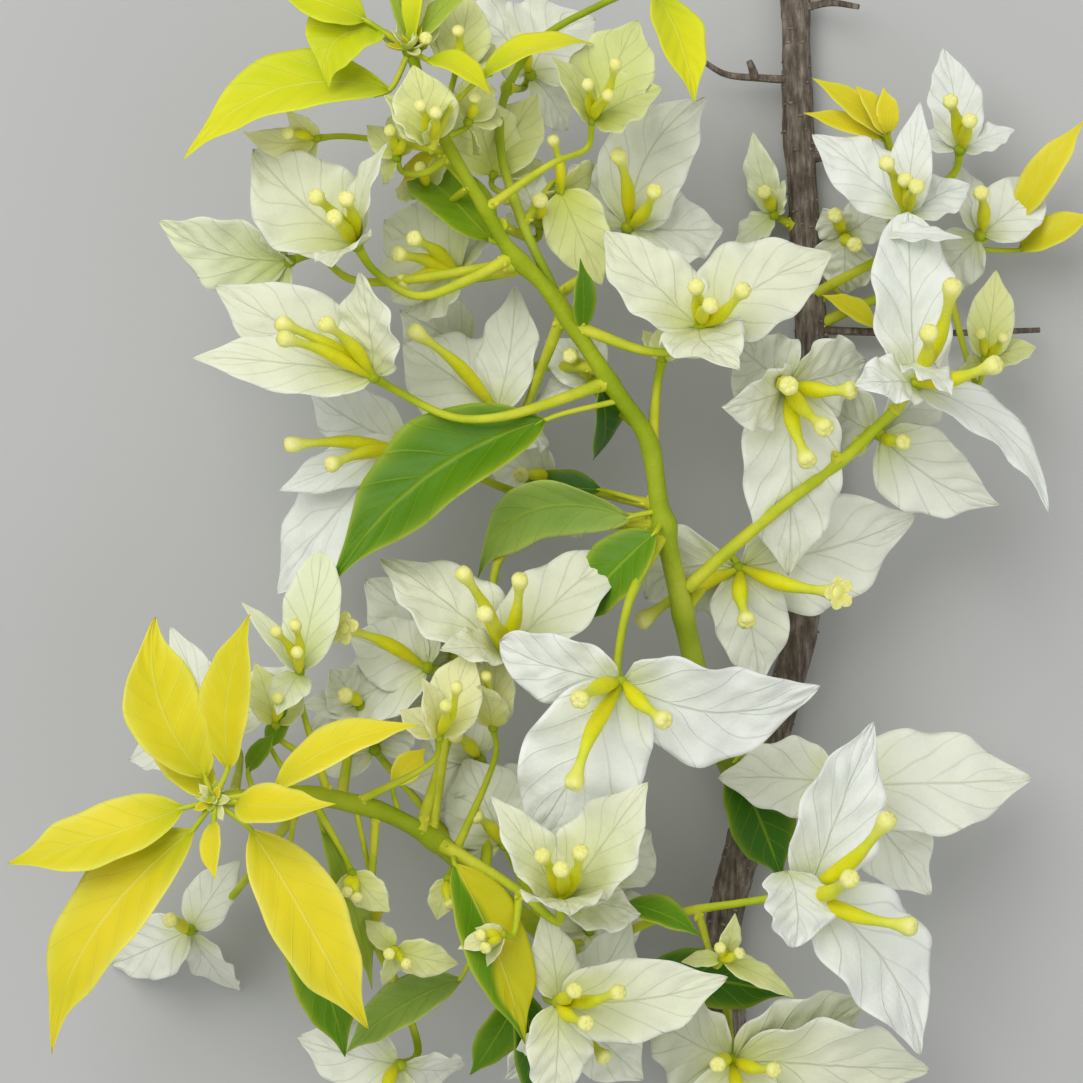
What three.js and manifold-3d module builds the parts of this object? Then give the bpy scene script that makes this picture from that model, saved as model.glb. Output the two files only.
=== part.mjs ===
// A cut flowering branch of white bougainvillea, lying on a table.
// A grey woody stem lies on the table. Green shoots rise from it and carry the blooms, each of three
// papery bracts with tubular flowers, and the leaves, which are green low down and yellow at the tips.
// Millimetres, +Z up from the table, +Y towards the growing tip.
import * as THREE from "three";
import { mergeVertices } from "three/addons/utils/BufferGeometryUtils.js";
import Module from "manifold-3d";

const wasm = await Module();
wasm.setup();

// Places are written as they are seen from straight above: mm across from the left of the view,
// mm down from its top, and mm above the table. The view is square and true to size at middleHeight.
const view = { side: 216.6, eyeHeight: 675, middleHeight: 55 };

// Driving sizes of the organs, in mm. A blade is widest at round / (round + point) of its length, arches
// by a share of its length, has edges raised by cup times its half width, and starts claw wide.
const cutGap = 0.36;
const bladeThickness = { bract: 0.6, leaf: 0.7 };
const bractShape = { round: 0.5, point: 0.95, arch: 0.07, cup: 0.14, claw: 0.6 };
const leafShape = { round: 0.72, point: 1.0, arch: 0.08, cup: 0.22, claw: 0.6 };
const bladeTip = { half: 0.12, thin: 0.5 };
const stalkRadius = 0.95;
const petioleRadius = 0.7;
const hubRadius = { bloom: 1.9, tuft: 3.6 };
const flowerShape = [
  { at: 0, radius: 0.5 },
  { at: 0.3, radius: 1.45 },
  { at: 0.6, radius: 0.95, fine: true },
  { at: 1, radius: 1.6 },
];
const youngShare = 0.75;

// Bracts spring from a share of the hub's radius outwards and behind, and flowers from the same in front.
const spring = { out: 0.35, back: 0.2, front: 0.35, leaf: 0.4 };

// A stalk comes to its heart from behind the bloom, over a share of its reach up to a longest reach.
const arrival = { share: 0.3, longest: 24 };

// A petiole ends inside its blade, at this share of the blade's length.
const petioleEnd = 0.06;

// How finely the shapes are divided. Wide blades and flowers high in the branch are the finest.
const bladeStations = {
  fine: [0, 0.12, 0.36, 0.72, 1],
  plain: [0, 0.26, 0.68, 1],
  small: [0, 0.4, 1],
};
const fineFrom = { width: 17, height: 68 };
const smallUnder = 9.5;
const flowerSides = { fine: 4, plain: 3 };
const stalkSides = 3;
const stalkStep = 20;
const snagSides = 5;
const snagSteps = 3;
const limbSamples = 240;
const mergeWithin = 1e-4;

// A seen place as a point.
function place([across, down, height]) {
  const nearer = (view.eyeHeight - height) / (view.eyeHeight - view.middleHeight);
  return new THREE.Vector3(
    (across - view.side / 2) * nearer,
    (view.side / 2 - down) * nearer,
    height,
  );
}

// A direction from degrees round from the right of the view and degrees up from the table.
function direction([turn, rise]) {
  const a = THREE.MathUtils.degToRad(turn);
  const e = THREE.MathUtils.degToRad(rise);
  return new THREE.Vector3(Math.cos(a) * Math.cos(e), Math.sin(a) * Math.cos(e), Math.sin(e));
}

// The closed skin through rings of equally many points, with flat ends.
function loft(rings) {
  const count = rings[0].length;
  const positions = rings.flat().flatMap((p) => [p.x, p.y, p.z]);
  const index = [];
  for (let r = 0; r + 1 < rings.length; r++) {
    for (let k = 0; k < count; k++) {
      const a = r * count + k;
      const b = r * count + ((k + 1) % count);
      index.push(a, b, b + count, a, b + count, a + count);
    }
  }
  const last = (rings.length - 1) * count;
  for (let k = 1; k + 1 < count; k++) {
    index.push(0, k + 1, k);
    index.push(last, last + k, last + k + 1);
  }
  const geometry = new THREE.BufferGeometry();
  geometry.setAttribute("position", new THREE.Float32BufferAttribute(positions, 3));
  geometry.setIndex(index);
  return geometry;
}

// A geometry as a solid that can be joined and cut.
function solidOf(geometry) {
  const merged = mergeVertices(geometry, mergeWithin);
  return new wasm.Manifold(
    new wasm.Mesh({
      numProp: 3,
      vertProperties: merged.attributes.position.array,
      triVerts: new Uint32Array(merged.index.array),
    }),
  );
}

function geometryOf(solid) {
  const mesh = solid.getMesh();
  const geometry = new THREE.BufferGeometry();
  geometry.setAttribute("position", new THREE.BufferAttribute(mesh.vertProperties, 3));
  geometry.setIndex(new THREE.BufferAttribute(mesh.triVerts, 1));
  return geometry;
}

function union(solids) {
  return solids.reduce((whole, next) => whole.add(next));
}

// How far a ring at a share of a length moves along it when the shape grows: only the two ends do.
function endShift(share, grow) {
  if (share === 0) return -grow;
  return share === 1 ? grow : 0;
}

// A round limb along a curve, its radius given by the share of its length.
function limbSolid(curve, radiusAt, sides, steps, grow) {
  const frames = curve.computeFrenetFrames(steps, false);
  const rings = [];
  for (let i = 0; i <= steps; i++) {
    const t = i / steps;
    const centre = curve.getPointAt(t);
    centre.addScaledVector(frames.tangents[i], endShift(t, grow));
    const ring = [];
    for (let k = 0; k < sides; k++) {
      const a = (2 * Math.PI * k) / sides;
      const out = frames.normals[i].clone().multiplyScalar(Math.cos(a));
      out.addScaledVector(frames.binormals[i], Math.sin(a));
      ring.push(centre.clone().addScaledVector(out, radiusAt(t) + grow));
    }
    rings.push(ring);
  }
  return solidOf(loft(rings));
}

function stationsOf(width, height) {
  if (width < smallUnder) return bladeStations.small;
  return width >= fineFrom.width && height >= fineFrom.height ? bladeStations.fine : bladeStations.plain;
}

// A bract or leaf: a pointed blade from base to tip, arched towards its face and cupped along its midrib.
function bladeSolid({ base, tip, face, width, thickness, shape, arch, bow = 0, grow }) {
  const chord = tip.clone().sub(base);
  const length = chord.length();
  const along = chord.clone().normalize();
  const up = face.clone().addScaledVector(along, -face.dot(along)).normalize();
  const side = new THREE.Vector3().crossVectors(up, along);
  const widest = shape.round / (shape.round + shape.point);
  const most = widest ** shape.round * (1 - widest) ** shape.point;
  const bend = arch ?? shape.arch;
  const rings = stationsOf(width, base.z).map((u) => {
    const spread = (u ** shape.round * (1 - u) ** shape.point) / most;
    const least = u === 1 ? bladeTip.half : shape.claw * (1 - u);
    const half = Math.max((width / 2) * spread, least) + grow;
    const thick = (thickness / 2) * (u === 1 ? bladeTip.thin : 1) + grow;
    const end = endShift(u, grow);
    const middle = base
      .clone()
      .addScaledVector(chord, u)
      .addScaledVector(along, end)
      .addScaledVector(up, bend * length * 4 * u * (1 - u))
      .addScaledVector(side, bow * length * 4 * u * (1 - u));
    const edgeLift = shape.cup * half;
    return [
      middle.clone().addScaledVector(side, half).addScaledVector(up, edgeLift),
      middle.clone().addScaledVector(up, thick),
      middle.clone().addScaledVector(side, -half).addScaledVector(up, edgeLift),
      middle.clone().addScaledVector(up, -thick),
    ];
  });
  return solidOf(loft(rings));
}

// A tubular flower from its foot to its head: a swollen lower part, a neck and a club-shaped bud.
function flowerSolid(foot, head, size, grow) {
  const along = head.clone().sub(foot).normalize();
  const aside = new THREE.Vector3(along.y, -along.x, 0.3).cross(along).normalize();
  const other = new THREE.Vector3().crossVectors(along, aside);
  const plain = size < 1 || foot.z < fineFrom.height;
  const shape = flowerShape.filter(({ fine }) => !(fine && plain));
  const sides = plain ? flowerSides.plain : flowerSides.fine;
  const rings = shape.map(({ at, radius }) => {
    const r = radius * size + grow;
    const end = endShift(at, grow);
    const centre = foot.clone().lerp(head, at).addScaledVector(along, end);
    return Array.from({ length: sides }, (_, k) => {
      const a = (2 * Math.PI * k) / sides;
      return centre
        .clone()
        .addScaledVector(aside, r * Math.cos(a))
        .addScaledVector(other, r * Math.sin(a));
    });
  });
  return solidOf(loft(rings));
}

// The limbs: seen places along each from its foot to its tip, and its radius at both ends.
const limbs = {
  woody_stem: {
    route: [
      [147.6, 230, 4.4], [145.6, 208, 5], [144.4, 188, 5.6], [149, 168, 6], [154.4, 148, 6.4],
      [160, 126, 6.4], [163.6, 104, 6], [163, 80, 5.4], [161.6, 56, 4.8], [160, 30, 4.2],
      [159.2, 8, 3.8], [159.4, -10, 3.6],
    ],
    radius: [4.4, 3.3],
    sides: 10,
    steps: 14,
  },
  main_shoot: {
    route: [
      [149, 158, 6], [146, 153, 15], [141.2, 141, 28], [138.2, 130, 38], [135.6, 118, 45],
      [132, 102, 50], [129.6, 88, 53], [123, 78, 56], [116.4, 68, 58], [109.6, 58, 60],
      [101.6, 49.6, 62], [96, 40, 64], [90, 30, 66], [85.6, 21, 68],
    ],
    radius: [2.7, 1.1],
    sides: 7,
    steps: 16,
  },
  side_shoot: {
    route: [
      [145.4, 212, 5], [138, 209, 12], [129, 203, 21], [120, 196, 29], [111, 188.6, 37],
      [99, 178.6, 45], [88, 168.8, 51], [77.6, 162.8, 56], [69.4, 160.4, 59], [60, 158.8, 62],
      [50, 159.4, 66], [44.5, 160, 69],
    ],
    radius: [2.4, 1.5],
    sides: 7,
    steps: 12,
  },
  thin_shoot: {
    route: [
      [113.2, 63.6, 59], [110, 56.2, 59], [106.4, 49, 59], [103.6, 42, 58], [100.2, 30.2, 55],
      [101, 19, 50], [108, 8, 46], [120, 1, 46], [130.4, -3.4, 49],
    ],
    radius: [1.0, 0.7],
    sides: 6,
    steps: 12,
  },
  right_twig: {
    route: [
      [137.4, 117.6, 45], [147, 109, 47], [158, 100, 49], [168, 92.4, 50], [174.6, 86.2, 50],
      [180, 81, 50],
    ],
    radius: [1.45, 1.05],
    sides: 6,
    steps: 7,
  },
  low_twig: {
    route: [
      [117.6, 194, 31], [124.4, 187, 40], [136, 182.6, 47], [148, 180.6, 50], [157, 179.2, 52],
    ],
    radius: [1.1, 0.8],
    sides: 6,
    steps: 6,
  },
};

// Dry side twigs and a knob on the woody stem, from the stem outwards.
const snags = [
  { route: [[159.4, 16, 4.6], [152, 15.6, 7], [145, 14.8, 8.6], [140, 11.8, 9.6]], radius: [1, 0.6] },
  { route: [[159.4, 2, 4.2], [166, 0.6, 7], [171.8, 1.4, 9]], radius: [1, 0.6] },
  { route: [[162, 31.4, 4.4], [164.6, 31.2, 5.4], [165.6, 31, 5.8]], radius: [1.5, 0.9] },
  { route: [[163, 66, 5], [175, 66.4, 6], [190, 66.6, 6.4], [208, 66, 7]], radius: [1, 0.6] },
];

for (const limb of [...Object.values(limbs), ...snags]) {
  limb.curve = new THREE.CatmullRomCurve3(limb.route.map(place), false, "centripetal");
  limb.radiusAt = (t) => THREE.MathUtils.lerp(limb.radius[0], limb.radius[1], t);
}

// The point of a limb's middle line that is seen nearest to a place.
function onLimb(name, [across, down]) {
  const wanted = place([across, down, view.middleHeight]);
  let best = null;
  for (const point of limbs[name].curve.getSpacedPoints(limbSamples)) {
    const apart = Math.hypot(point.x - wanted.x, point.y - wanted.y);
    if (!best || apart < best.apart) best = { apart, point };
  }
  return best.point.clone();
}

// The blooms. heart is where the three bracts meet, faces is the way the whorl looks, from is where its
// stalk leaves a limb, tips are the bract tips with their widths and sideways bows, and heads are the
// flower buds. Leaves and further blooms, called sides, leave the stalk at a share of its length.
const blooms = [
  {
    name: "bloom_top_bud", heart: [86, 28.6, 72], faces: [95, 35], on: "main_shoot", from: [88, 27],
    tips: [[82.6, 13, 74, 13], [90.8, 20, 80, 8], [76.8, 19, 74, 11]],
    heads: [[84, 21, 82], [87.2, 22.4, 83]], young: true,
    sides: [
      {
        at: 0.9, heart: [91.4, 13.6, 66], faces: [70, 50], via: [[89.6, 22, 74]], young: true,
        tips: [[94, -1, 60, 11], [85.6, 0.6, 60, 9], [99, 9, 58, 8]], heads: [[91.6, 6, 73]],
      },
    ],
  },
  {
    name: "bloom_high_left", heart: [71.4, 49.2, 62], faces: [125, 40], on: "main_shoot",
    from: [101.6, 52.6], via: [[93.2, 56.2, 61], [83.4, 59.2, 60]],
    tips: [[50.6, 29.8, 56, 21, 0.06], [77.6, 28.6, 70, 9, 0.06], [66.2, 53.4, 80, 12]],
    heads: [[63, 39.2, 76], [69.2, 39.6, 76], [66.8, 43.4, 79]],
  },
  {
    name: "bloom_far_left", heart: [58, 52.2, 48], faces: [200, 45], on: "main_shoot",
    from: [104, 54], via: [[71.4, 56.2, 52]],
    tips: [[31.8, 44.2, 44, 16, 0.06], [52.4, 45, 60, 6], [50, 60, 34, 12]],
    heads: [],
  },
  {
    name: "bloom_bud_left", heart: [63.4, 27.6, 58], faces: [190, 40], on: "main_shoot",
    from: [91, 31.5], tips: [[48.6, 26.2, 58, 7], [57, 23.4, 64, 6], [60, 31, 50, 6]],
    heads: [[57.5, 26.6, 65]], young: true,
  },
  {
    name: "bloom_high_rear", heart: [92, 54.4, 48], faces: [165, 55], on: "main_shoot",
    from: [106, 54], tips: [[77, 44, 40, 24], [81, 62.5, 40, 14], [97, 43, 34, 16]],
    heads: [[82.6, 47.6, 61], [79.4, 50.8, 58], [80, 56.5, 55]],
  },
  {
    name: "bloom_left_twin", heart: [74.8, 75.4, 64], faces: [150, 50], on: "main_shoot",
    from: [119.6, 77.8], via: [[100, 83.4, 63], [90.4, 83.4, 62]],
    tips: [[43, 57.2, 56, 18], [38.4, 71.6, 64, 13], [72, 54.4, 72, 16, -0.1]],
    heads: [[56, 64.6, 76], [56.4, 67.6, 79], [65, 64.6, 77]],
    leaves: [{ at: 0.04, tip: [118.6, 92, 36], width: 10.4, faces: [20, 60] }],
  },
  {
    name: "bloom_left_low", heart: [81, 89.5, 46], faces: [185, 40], on: "main_shoot",
    from: [131.6, 105], via: [[112, 101, 49], [97, 96, 47]],
    tips: [[55.4, 118.8, 26, 22], [55.8, 98.2, 40, 10], [62, 78, 38, 18]],
    heads: [[57.6, 89, 56], [66, 93, 58]],
  },
  {
    name: "bloom_mid_rear", heart: [99.2, 82.8, 43], faces: [118, 45], on: "main_shoot",
    from: [113, 63], tips: [[103, 57, 40, 14, -0.08], [80.6, 68.8, 38, 22], [110, 89, 35, 15]],
    heads: [[82.6, 66, 57]],
  },
  {
    name: "bloom_top_cream", heart: [118.4, 24.2, 66], faces: [80, 50], on: "main_shoot",
    from: [97.4, 42.4], via: [[110.6, 32.6, 66]],
    tips: [[127.6, 4, 60, 17], [110.4, 11.4, 72, 8], [132.4, 17.6, 68, 15]],
    heads: [[123.2, 12.6, 80], [117.6, 16.8, 80], [121.8, 19, 82]], young: true,
  },
  {
    name: "bloom_top_rear", heart: [106, 15, 40], faces: [60, 50], on: "thin_shoot",
    from: [101.5, 17], tips: [[90, 1, 40, 20, -0.1], [119, 3.6, 36, 22, 0.14], [113.5, 26, 34, 17]],
    heads: [[104, 8, 54]],
  },
  {
    name: "bloom_top_mid", heart: [98.6, 35, 52], faces: [80, 45], on: "thin_shoot",
    from: [103, 40], tips: [[92.4, 17.6, 55, 16], [107.5, 19, 46, 13], [108, 32, 38, 12]],
    heads: [[99, 24, 64]], young: true,
  },
  {
    name: "bloom_upper_right", heart: [125.4, 45.6, 46], faces: [70, 60], on: "main_shoot",
    from: [111, 60], tips: [[141.2, 19.4, 44, 19, 0.12], [144.6, 46, 38, 19, -0.06], [114, 33, 38, 18]],
    heads: [[123.6, 30.8, 62], [131, 38, 60]],
  },
  {
    name: "bloom_pale_mid", heart: [112, 38, 52], faces: [290, 50], on: "thin_shoot",
    from: [105, 45], tips: [[120.4, 57, 50, 13], [106.5, 44, 42, 8], [119, 33, 44, 9]],
    heads: [[110.6, 27.8, 60]], young: true,
  },
  {
    name: "bloom_right_heart", heart: [140, 65.4, 62], faces: [80, 60], on: "main_shoot",
    from: [114.6, 65], via: [[130.4, 70.4, 60]],
    tips: [[120.8, 46.2, 56, 17, 0.06], [166.4, 50.6, 56, 21, 0.02], [147.8, 73.8, 80, 17, -0.14]],
    heads: [[139.2, 57.2, 78], [142.2, 61, 82], [148.8, 57.8, 77]],
    leaves: [{ at: 0.06, tip: [116, 51.6, 68], width: 5.4, faces: [0, 70] }],
  },
  {
    name: "bloom_young_mid", heart: [132.4, 72, 52], faces: [80, 35], on: "main_shoot",
    from: [130.2, 90], tips: [[135, 64, 54, 7], [128.6, 66, 49, 5], [137, 70, 47, 5]],
    heads: [], young: true,
  },
  {
    name: "bloom_right_fall", heart: [157.6, 77, 54.6], faces: [288, 61], on: "right_twig",
    from: [168, 92],
    tips: [[157.6, 115, 38, 21], [144.6, 81.6, 70, 14], [173, 72, 44, 18], [147, 68.6, 56, 17]],
    heads: [[161.6, 92.4, 68], [157.8, 77.2, 74], [170.4, 78, 60], [165.2, 85.8, 70]],
  },
  {
    name: "bloom_right_high", heart: [183, 77, 54], faces: [60, 55], on: "right_twig",
    from: [179, 81.6], tips: [[180, 42.4, 48, 20, 0.04], [211.2, 99.6, 48, 11, 0.08], [171, 77, 68, 12]],
    heads: [[190.6, 56.8, 72], [185.8, 66.4, 74], [199.4, 72.8, 70]],
  },
  {
    name: "bloom_right_low", heart: [176, 87, 42], faces: [300, 50], on: "right_twig",
    from: [172, 88.6], tips: [[200, 101, 34, 19], [190, 68, 30, 16], [164, 79.6, 34, 17]],
    heads: [[180.8, 88.4, 52]],
  },
  {
    name: "bloom_right_rear", heart: [147.8, 113.6, 36], faces: [300, 60], on: "main_shoot",
    from: [137, 123], tips: [[183.2, 103, 28, 26], [129, 119.6, 28, 26, -0.26], [152, 137.2, 30, 16]],
    heads: [[167.8, 118.6, 48], [128, 124.4, 40], [149.4, 124.4, 48]],
  },
  {
    name: "bloom_far_right", heart: [181.4, 42.8, 34.6], faces: [108, 56], on: "woody_stem",
    from: [162, 56], tips: [[162.4, 27, 30, 15], [184, 20.4, 38, 9], [194, 37, 30, 12]],
    heads: [[177.2, 32.4, 48], [183.4, 37.2, 50], [181, 35.8, 46]],
  },
  {
    name: "bloom_back_upper", heart: [192, 30, 22], faces: [80, 50], on: "woody_stem",
    from: [161.4, 48], tips: [[188.6, 9.6, 18, 12], [203, 26, 20, 8], [180, 27, 14, 8]],
    heads: [[190, 20, 34], [194, 24, 36]],
    leaves: [
      { at: 0.52, base: [177, 27, 30], tip: [162.4, 15.6, 33], width: 6.5, faces: [90, 60] },
      { at: 0.54, base: [177, 26.6, 31], tip: [171, 17, 36], width: 6, faces: [60, 60] },
      { at: 0.56, base: [177.6, 26.6, 31], tip: [176.6, 17.4, 34], width: 5.5, faces: [90, 50] },
      { at: 0.5, base: [176.6, 27.6, 29], tip: [160.6, 22.6, 30], width: 5, faces: [90, 70] },
    ],
  },
  {
    name: "bloom_back_right", heart: [196, 47, 18], faces: [60, 55], on: "woody_stem",
    from: [162, 62], tips: [[208.4, 35, 14, 14, -0.05], [190.6, 32.4, 10, 9], [186, 58.4, 8, 13]],
    heads: [[196.2, 38.4, 30]],
    leaves: [
      { at: 0.9, base: [203, 44, 16], tip: [217, 24, 20], width: 8, faces: [100, 60] },
      { at: 0.88, base: [204, 50, 14], tip: [219, 43, 18], width: 8, faces: [80, 60] },
    ],
    sides: [
      {
        at: 0.7, heart: [197, 72, 22], faces: [80, 45], young: true,
        tips: [[199.2, 54, 20, 10], [207.4, 69.4, 20, 9], [190, 79, 14, 8]],
        heads: [[196, 66.6, 32], [200.6, 67.4, 32]],
      },
    ],
  },
  {
    name: "bloom_back_left", heart: [169, 47, 14], faces: [200, 60], on: "woody_stem",
    from: [161.6, 60], tips: [[164.6, 41.6, 17, 9], [169.6, 58.6, 6, 14], [178, 41, 15, 10]],
    heads: [[167, 43, 26], [171, 49, 26]],
    leaves: [{ at: 0.3, base: [175, 65, 8], tip: [164.4, 59, 12], width: 6, faces: [90, 60] }],
  },
  {
    name: "bloom_centre", heart: [100.8, 131, 58], faces: [80, 50], on: "main_shoot",
    from: [132, 105], via: [[115, 105.4, 48], [100, 111.4, 47]],
    tips: [[76, 112, 52, 19], [125.2, 109, 50, 17], [88, 130, 72, 10]],
    heads: [[92.4, 114.4, 72], [96.8, 122.6, 75], [104, 115.6, 71]],
  },
  {
    name: "bloom_front", heart: [124.2, 136.4, 68], faces: [280, 65], on: "main_shoot",
    from: [132.4, 106], via: [[125.6, 121, 61]],
    tips: [[99.4, 127, 68, 14], [164, 137.2, 64, 22, -0.12], [106, 168, 56, 25]],
    heads: [[115.8, 140, 82], [133, 144.2, 80], [114.6, 157.2, 78]],
  },
  {
    name: "bloom_low_front", heart: [112, 180.4, 66], faces: [85, 50], on: "side_shoot",
    from: [88, 168], via: [[96, 173.4, 56], [104, 178.4, 61]], stalk: 1.25,
    tips: [[98.2, 159.2, 70, 11], [129.6, 156.4, 68, 17, -0.03], [114, 183, 86, 16], [128, 183, 60, 14]],
    heads: [[108.4, 171, 79], [112.2, 173.8, 85], [116.2, 170.2, 79]],
  },
  {
    name: "bloom_low_star", heart: [111.6, 200.4, 58], faces: [0, 70], on: "side_shoot",
    from: [117, 190], tips: [[108.6, 182, 56, 10], [145.6, 195.4, 58, 17, -0.04], [110.2, 221, 54, 14]],
    heads: [[115, 198, 70], [124, 198.4, 71], [117.4, 204.8, 72]],
  },
  {
    name: "bloom_bottom_rear", heart: [114, 203, 44], faces: [350, 60], on: "side_shoot",
    from: [122, 196], tips: [[126, 183.6, 44, 16], [128.6, 216, 40, 15], [101, 216, 36, 12]],
    heads: [[121, 211.6, 52]],
    leaves: [{ at: 0.2, base: [104, 198, 42], tip: [107, 224, 36], width: 10, faces: [10, 60] }],
  },
  {
    name: "bloom_bottom_right", heart: [146.4, 212, 40], faces: [270, 60], on: "woody_stem",
    from: [145.6, 200],
    tips: [[129, 202, 34, 22], [174, 199, 36, 22], [148, 231, 34, 20], [186, 214, 30, 26, 0.06]],
    heads: [[143.5, 213, 54], [155, 214, 52], [150, 222, 52]],
  },
  {
    name: "bloom_right_trumpet", heart: [161.6, 178.6, 56], faces: [20, 55], on: "low_twig",
    from: [156.6, 179.2],
    tips: [[174.6, 144.4, 52, 20, 0.05], [184, 211, 50, 24, 0.09], [155.6, 190, 68, 17, 0.1]],
    heads: [[177.8, 163.6, 71], [170.2, 175.6, 75], [182.6, 185.4, 71]],
  },
  {
    name: "bloom_right_wing", heart: [167.6, 156.6, 32], faces: [70, 65], on: "woody_stem",
    from: [152, 156], tips: [[206.4, 155.6, 26, 23, -0.04], [143.6, 155.6, 30, 17], [186, 179, 24, 20]],
    heads: [[161.5, 160, 46]],
  },
  {
    name: "bloom_small_hang", heart: [144.4, 191.8, 50], faces: [60, 50], on: "low_twig",
    from: [139.6, 181.6], tips: [[147, 182.6, 55, 5], [136.2, 192.4, 48, 4], [159, 199.6, 46, 6]],
    heads: [[144, 189.5, 55], [148, 190.6, 55]], young: true,
  },
  {
    name: "bloom_rosette_top", heart: [60, 134.4, 62], faces: [85, 45], on: "side_shoot",
    from: [66, 159.4], tips: [[66, 110.2, 58, 11], [48.2, 120.4, 60, 6], [55.4, 143, 70, 8]],
    heads: [[55, 126.2, 72], [59, 124.8, 73], [59.4, 130.4, 77]], young: true,
    sides: [
      {
        at: 0.25, heart: [55.2, 145, 60], faces: [90, 45], young: true,
        tips: [[51, 132.6, 60, 8], [60.4, 137, 58, 8]], heads: [[55.4, 139.4, 70]],
      },
    ],
  },
  {
    name: "bloom_open_flower", heart: [85.6, 133.6, 46], faces: [150, 50], on: "side_shoot",
    from: [86, 168], tips: [[70, 127, 40, 15], [81, 116, 36, 14], [62, 146, 38, 17]],
    heads: [[68.6, 125.6, 57]],
  },
  {
    name: "bloom_cream_left", heart: [87.8, 147.6, 66], faces: [75, 45], on: "side_shoot",
    from: [71, 160.6], tips: [[93, 130, 66, 9], [85, 135, 72, 8], [79, 143, 62, 8]],
    heads: [[91.4, 137.2, 77], [89.2, 141, 78]], young: true,
  },
  {
    name: "bloom_cream_right", heart: [98.6, 145.6, 58], faces: [95, 40], on: "side_shoot",
    from: [91, 171.4], tips: [[100.4, 128, 54, 9], [94, 131, 56, 8], [96, 138, 69, 7]],
    heads: [[97, 135, 66]], young: true,
  },
  {
    name: "bloom_bud_low", heart: [79, 190, 58], faces: [330, 45], on: "side_shoot",
    from: [75, 162.4], tips: [[91.8, 192.8, 56, 8], [73, 184, 56, 5], [76.4, 197, 54, 5]],
    heads: [[77.8, 190.8, 64], [81.4, 192.8, 64]], young: true,
    leaves: [{ at: 0.1, base: [64, 166, 56], tip: [74.4, 198, 50], width: 8.5, faces: [10, 60] }],
    sides: [
      {
        at: 0.3, heart: [70.4, 174.6, 61], faces: [300, 45], young: true,
        tips: [[78, 182.4, 60, 7.5], [66, 180, 58, 4]], heads: [[71.4, 179.6, 66], [69.4, 178.4, 66]],
      },
      {
        at: 0.8, heart: [80, 213, 40], faces: [200, 60],
        tips: [[59.6, 207.4, 34, 16], [78, 230, 30, 16], [93, 213, 27, 12]], heads: [[77, 221, 50]],
      },
    ],
  },
  {
    name: "bloom_white_low", heart: [101, 169, 40], faces: [110, 60], on: "side_shoot",
    from: [114, 186], tips: [[86, 163, 34, 18], [93, 151.6, 38, 19], [112, 152, 30, 20]],
    heads: [[95, 163, 50]],
  },
  {
    name: "bloom_rosette_rear", heart: [45, 147, 46], faces: [120, 55], on: "side_shoot",
    from: [48, 159.4], tips: [[34, 125.2, 42, 10], [60, 133, 34, 14], [26, 152, 30, 14]],
    heads: [[42, 140, 58]],
  },
  {
    name: "bloom_table_left", heart: [38, 186, 16], faces: [200, 60], on: "side_shoot",
    from: [62, 159], tips: [[22.4, 193, 0.5, 14], [48, 198, 0.5, 12], [48, 172, 14, 11]],
    heads: [[34, 184, 28]],
  },
];

// The leaves, each with its blade from base to tip and its petiole from a limb.
const leaves = [
  {
    name: "leaf_top_arching", base: [96.6, 15.4, 70], tip: [118.8, 8.8, 64], width: 9, arch: 0.14,
    faces: [100, 40], on: "main_shoot", from: [88, 26], yellow: true,
  },
  {
    name: "leaf_top_right", base: [131.2, -1, 53], tip: [138.8, 20.6, 58], width: 12, arch: 0.1,
    faces: [10, 60], on: "thin_shoot", from: [130.4, -3.4], yellow: true,
  },
  {
    name: "leaf_green_high", base: [98, 48, 57], tip: [81, 33, 48], width: 15, arch: 0.08,
    faces: [60, 60], on: "main_shoot", from: [101, 49.6],
  },
  {
    name: "leaf_large", base: [109, 84, 60], tip: [66.4, 116.8, 58], width: 22, arch: 0.06, bow: -0.08,
    faces: [135, 62], on: "main_shoot", from: [124, 80.6],
  },
  {
    name: "leaf_curled", base: [126, 103.4, 53], tip: [95.6, 115.6, 44], width: 14, arch: 0.08, bow: -0.3,
    faces: [250, 60], on: "main_shoot", from: [131.8, 102],
  },
  {
    name: "leaf_by_node", base: [131, 106.6, 55], tip: [114.4, 126, 50], width: 14, arch: 0.1,
    faces: [140, 60], on: "main_shoot", from: [132.4, 104],
  },
  {
    name: "leaf_right_dark", base: [146.8, 152.6, 26.6], tip: [156.4, 176, 23], width: 15, arch: 0.09,
    faces: [325, 70], on: "woody_stem", from: [152.6, 152],
  },
  {
    name: "leaf_folded", base: [125, 181, 55], tip: [140.2, 187.4, 58], width: 8, arch: 0.12,
    faces: [60, 45], on: "low_twig", from: [122, 188],
  },
  {
    name: "leaf_dark_low", base: [129, 194, 36], tip: [158, 199, 33], width: 13, arch: 0.06,
    faces: [90, 70], on: "side_shoot", from: [122, 195],
  },
  {
    name: "leaf_yellow_green", base: [91, 173, 62], tip: [105, 208.8, 60], width: 15.4, arch: 0.08,
    faces: [20, 60], on: "side_shoot", from: [91, 171.4], yellow: true,
  },
  {
    name: "leaf_green_low", base: [57.4, 176, 52], tip: [69, 211.4, 40], width: 15, arch: 0.1,
    faces: [30, 70], on: "side_shoot", from: [60, 158.8],
  },
  {
    name: "leaf_pale_under", base: [92, 196, 48], tip: [69.2, 210.6, 44], width: 12, arch: 0.12,
    faces: [110, 50], on: "side_shoot", from: [101, 177],
  },
];

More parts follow.
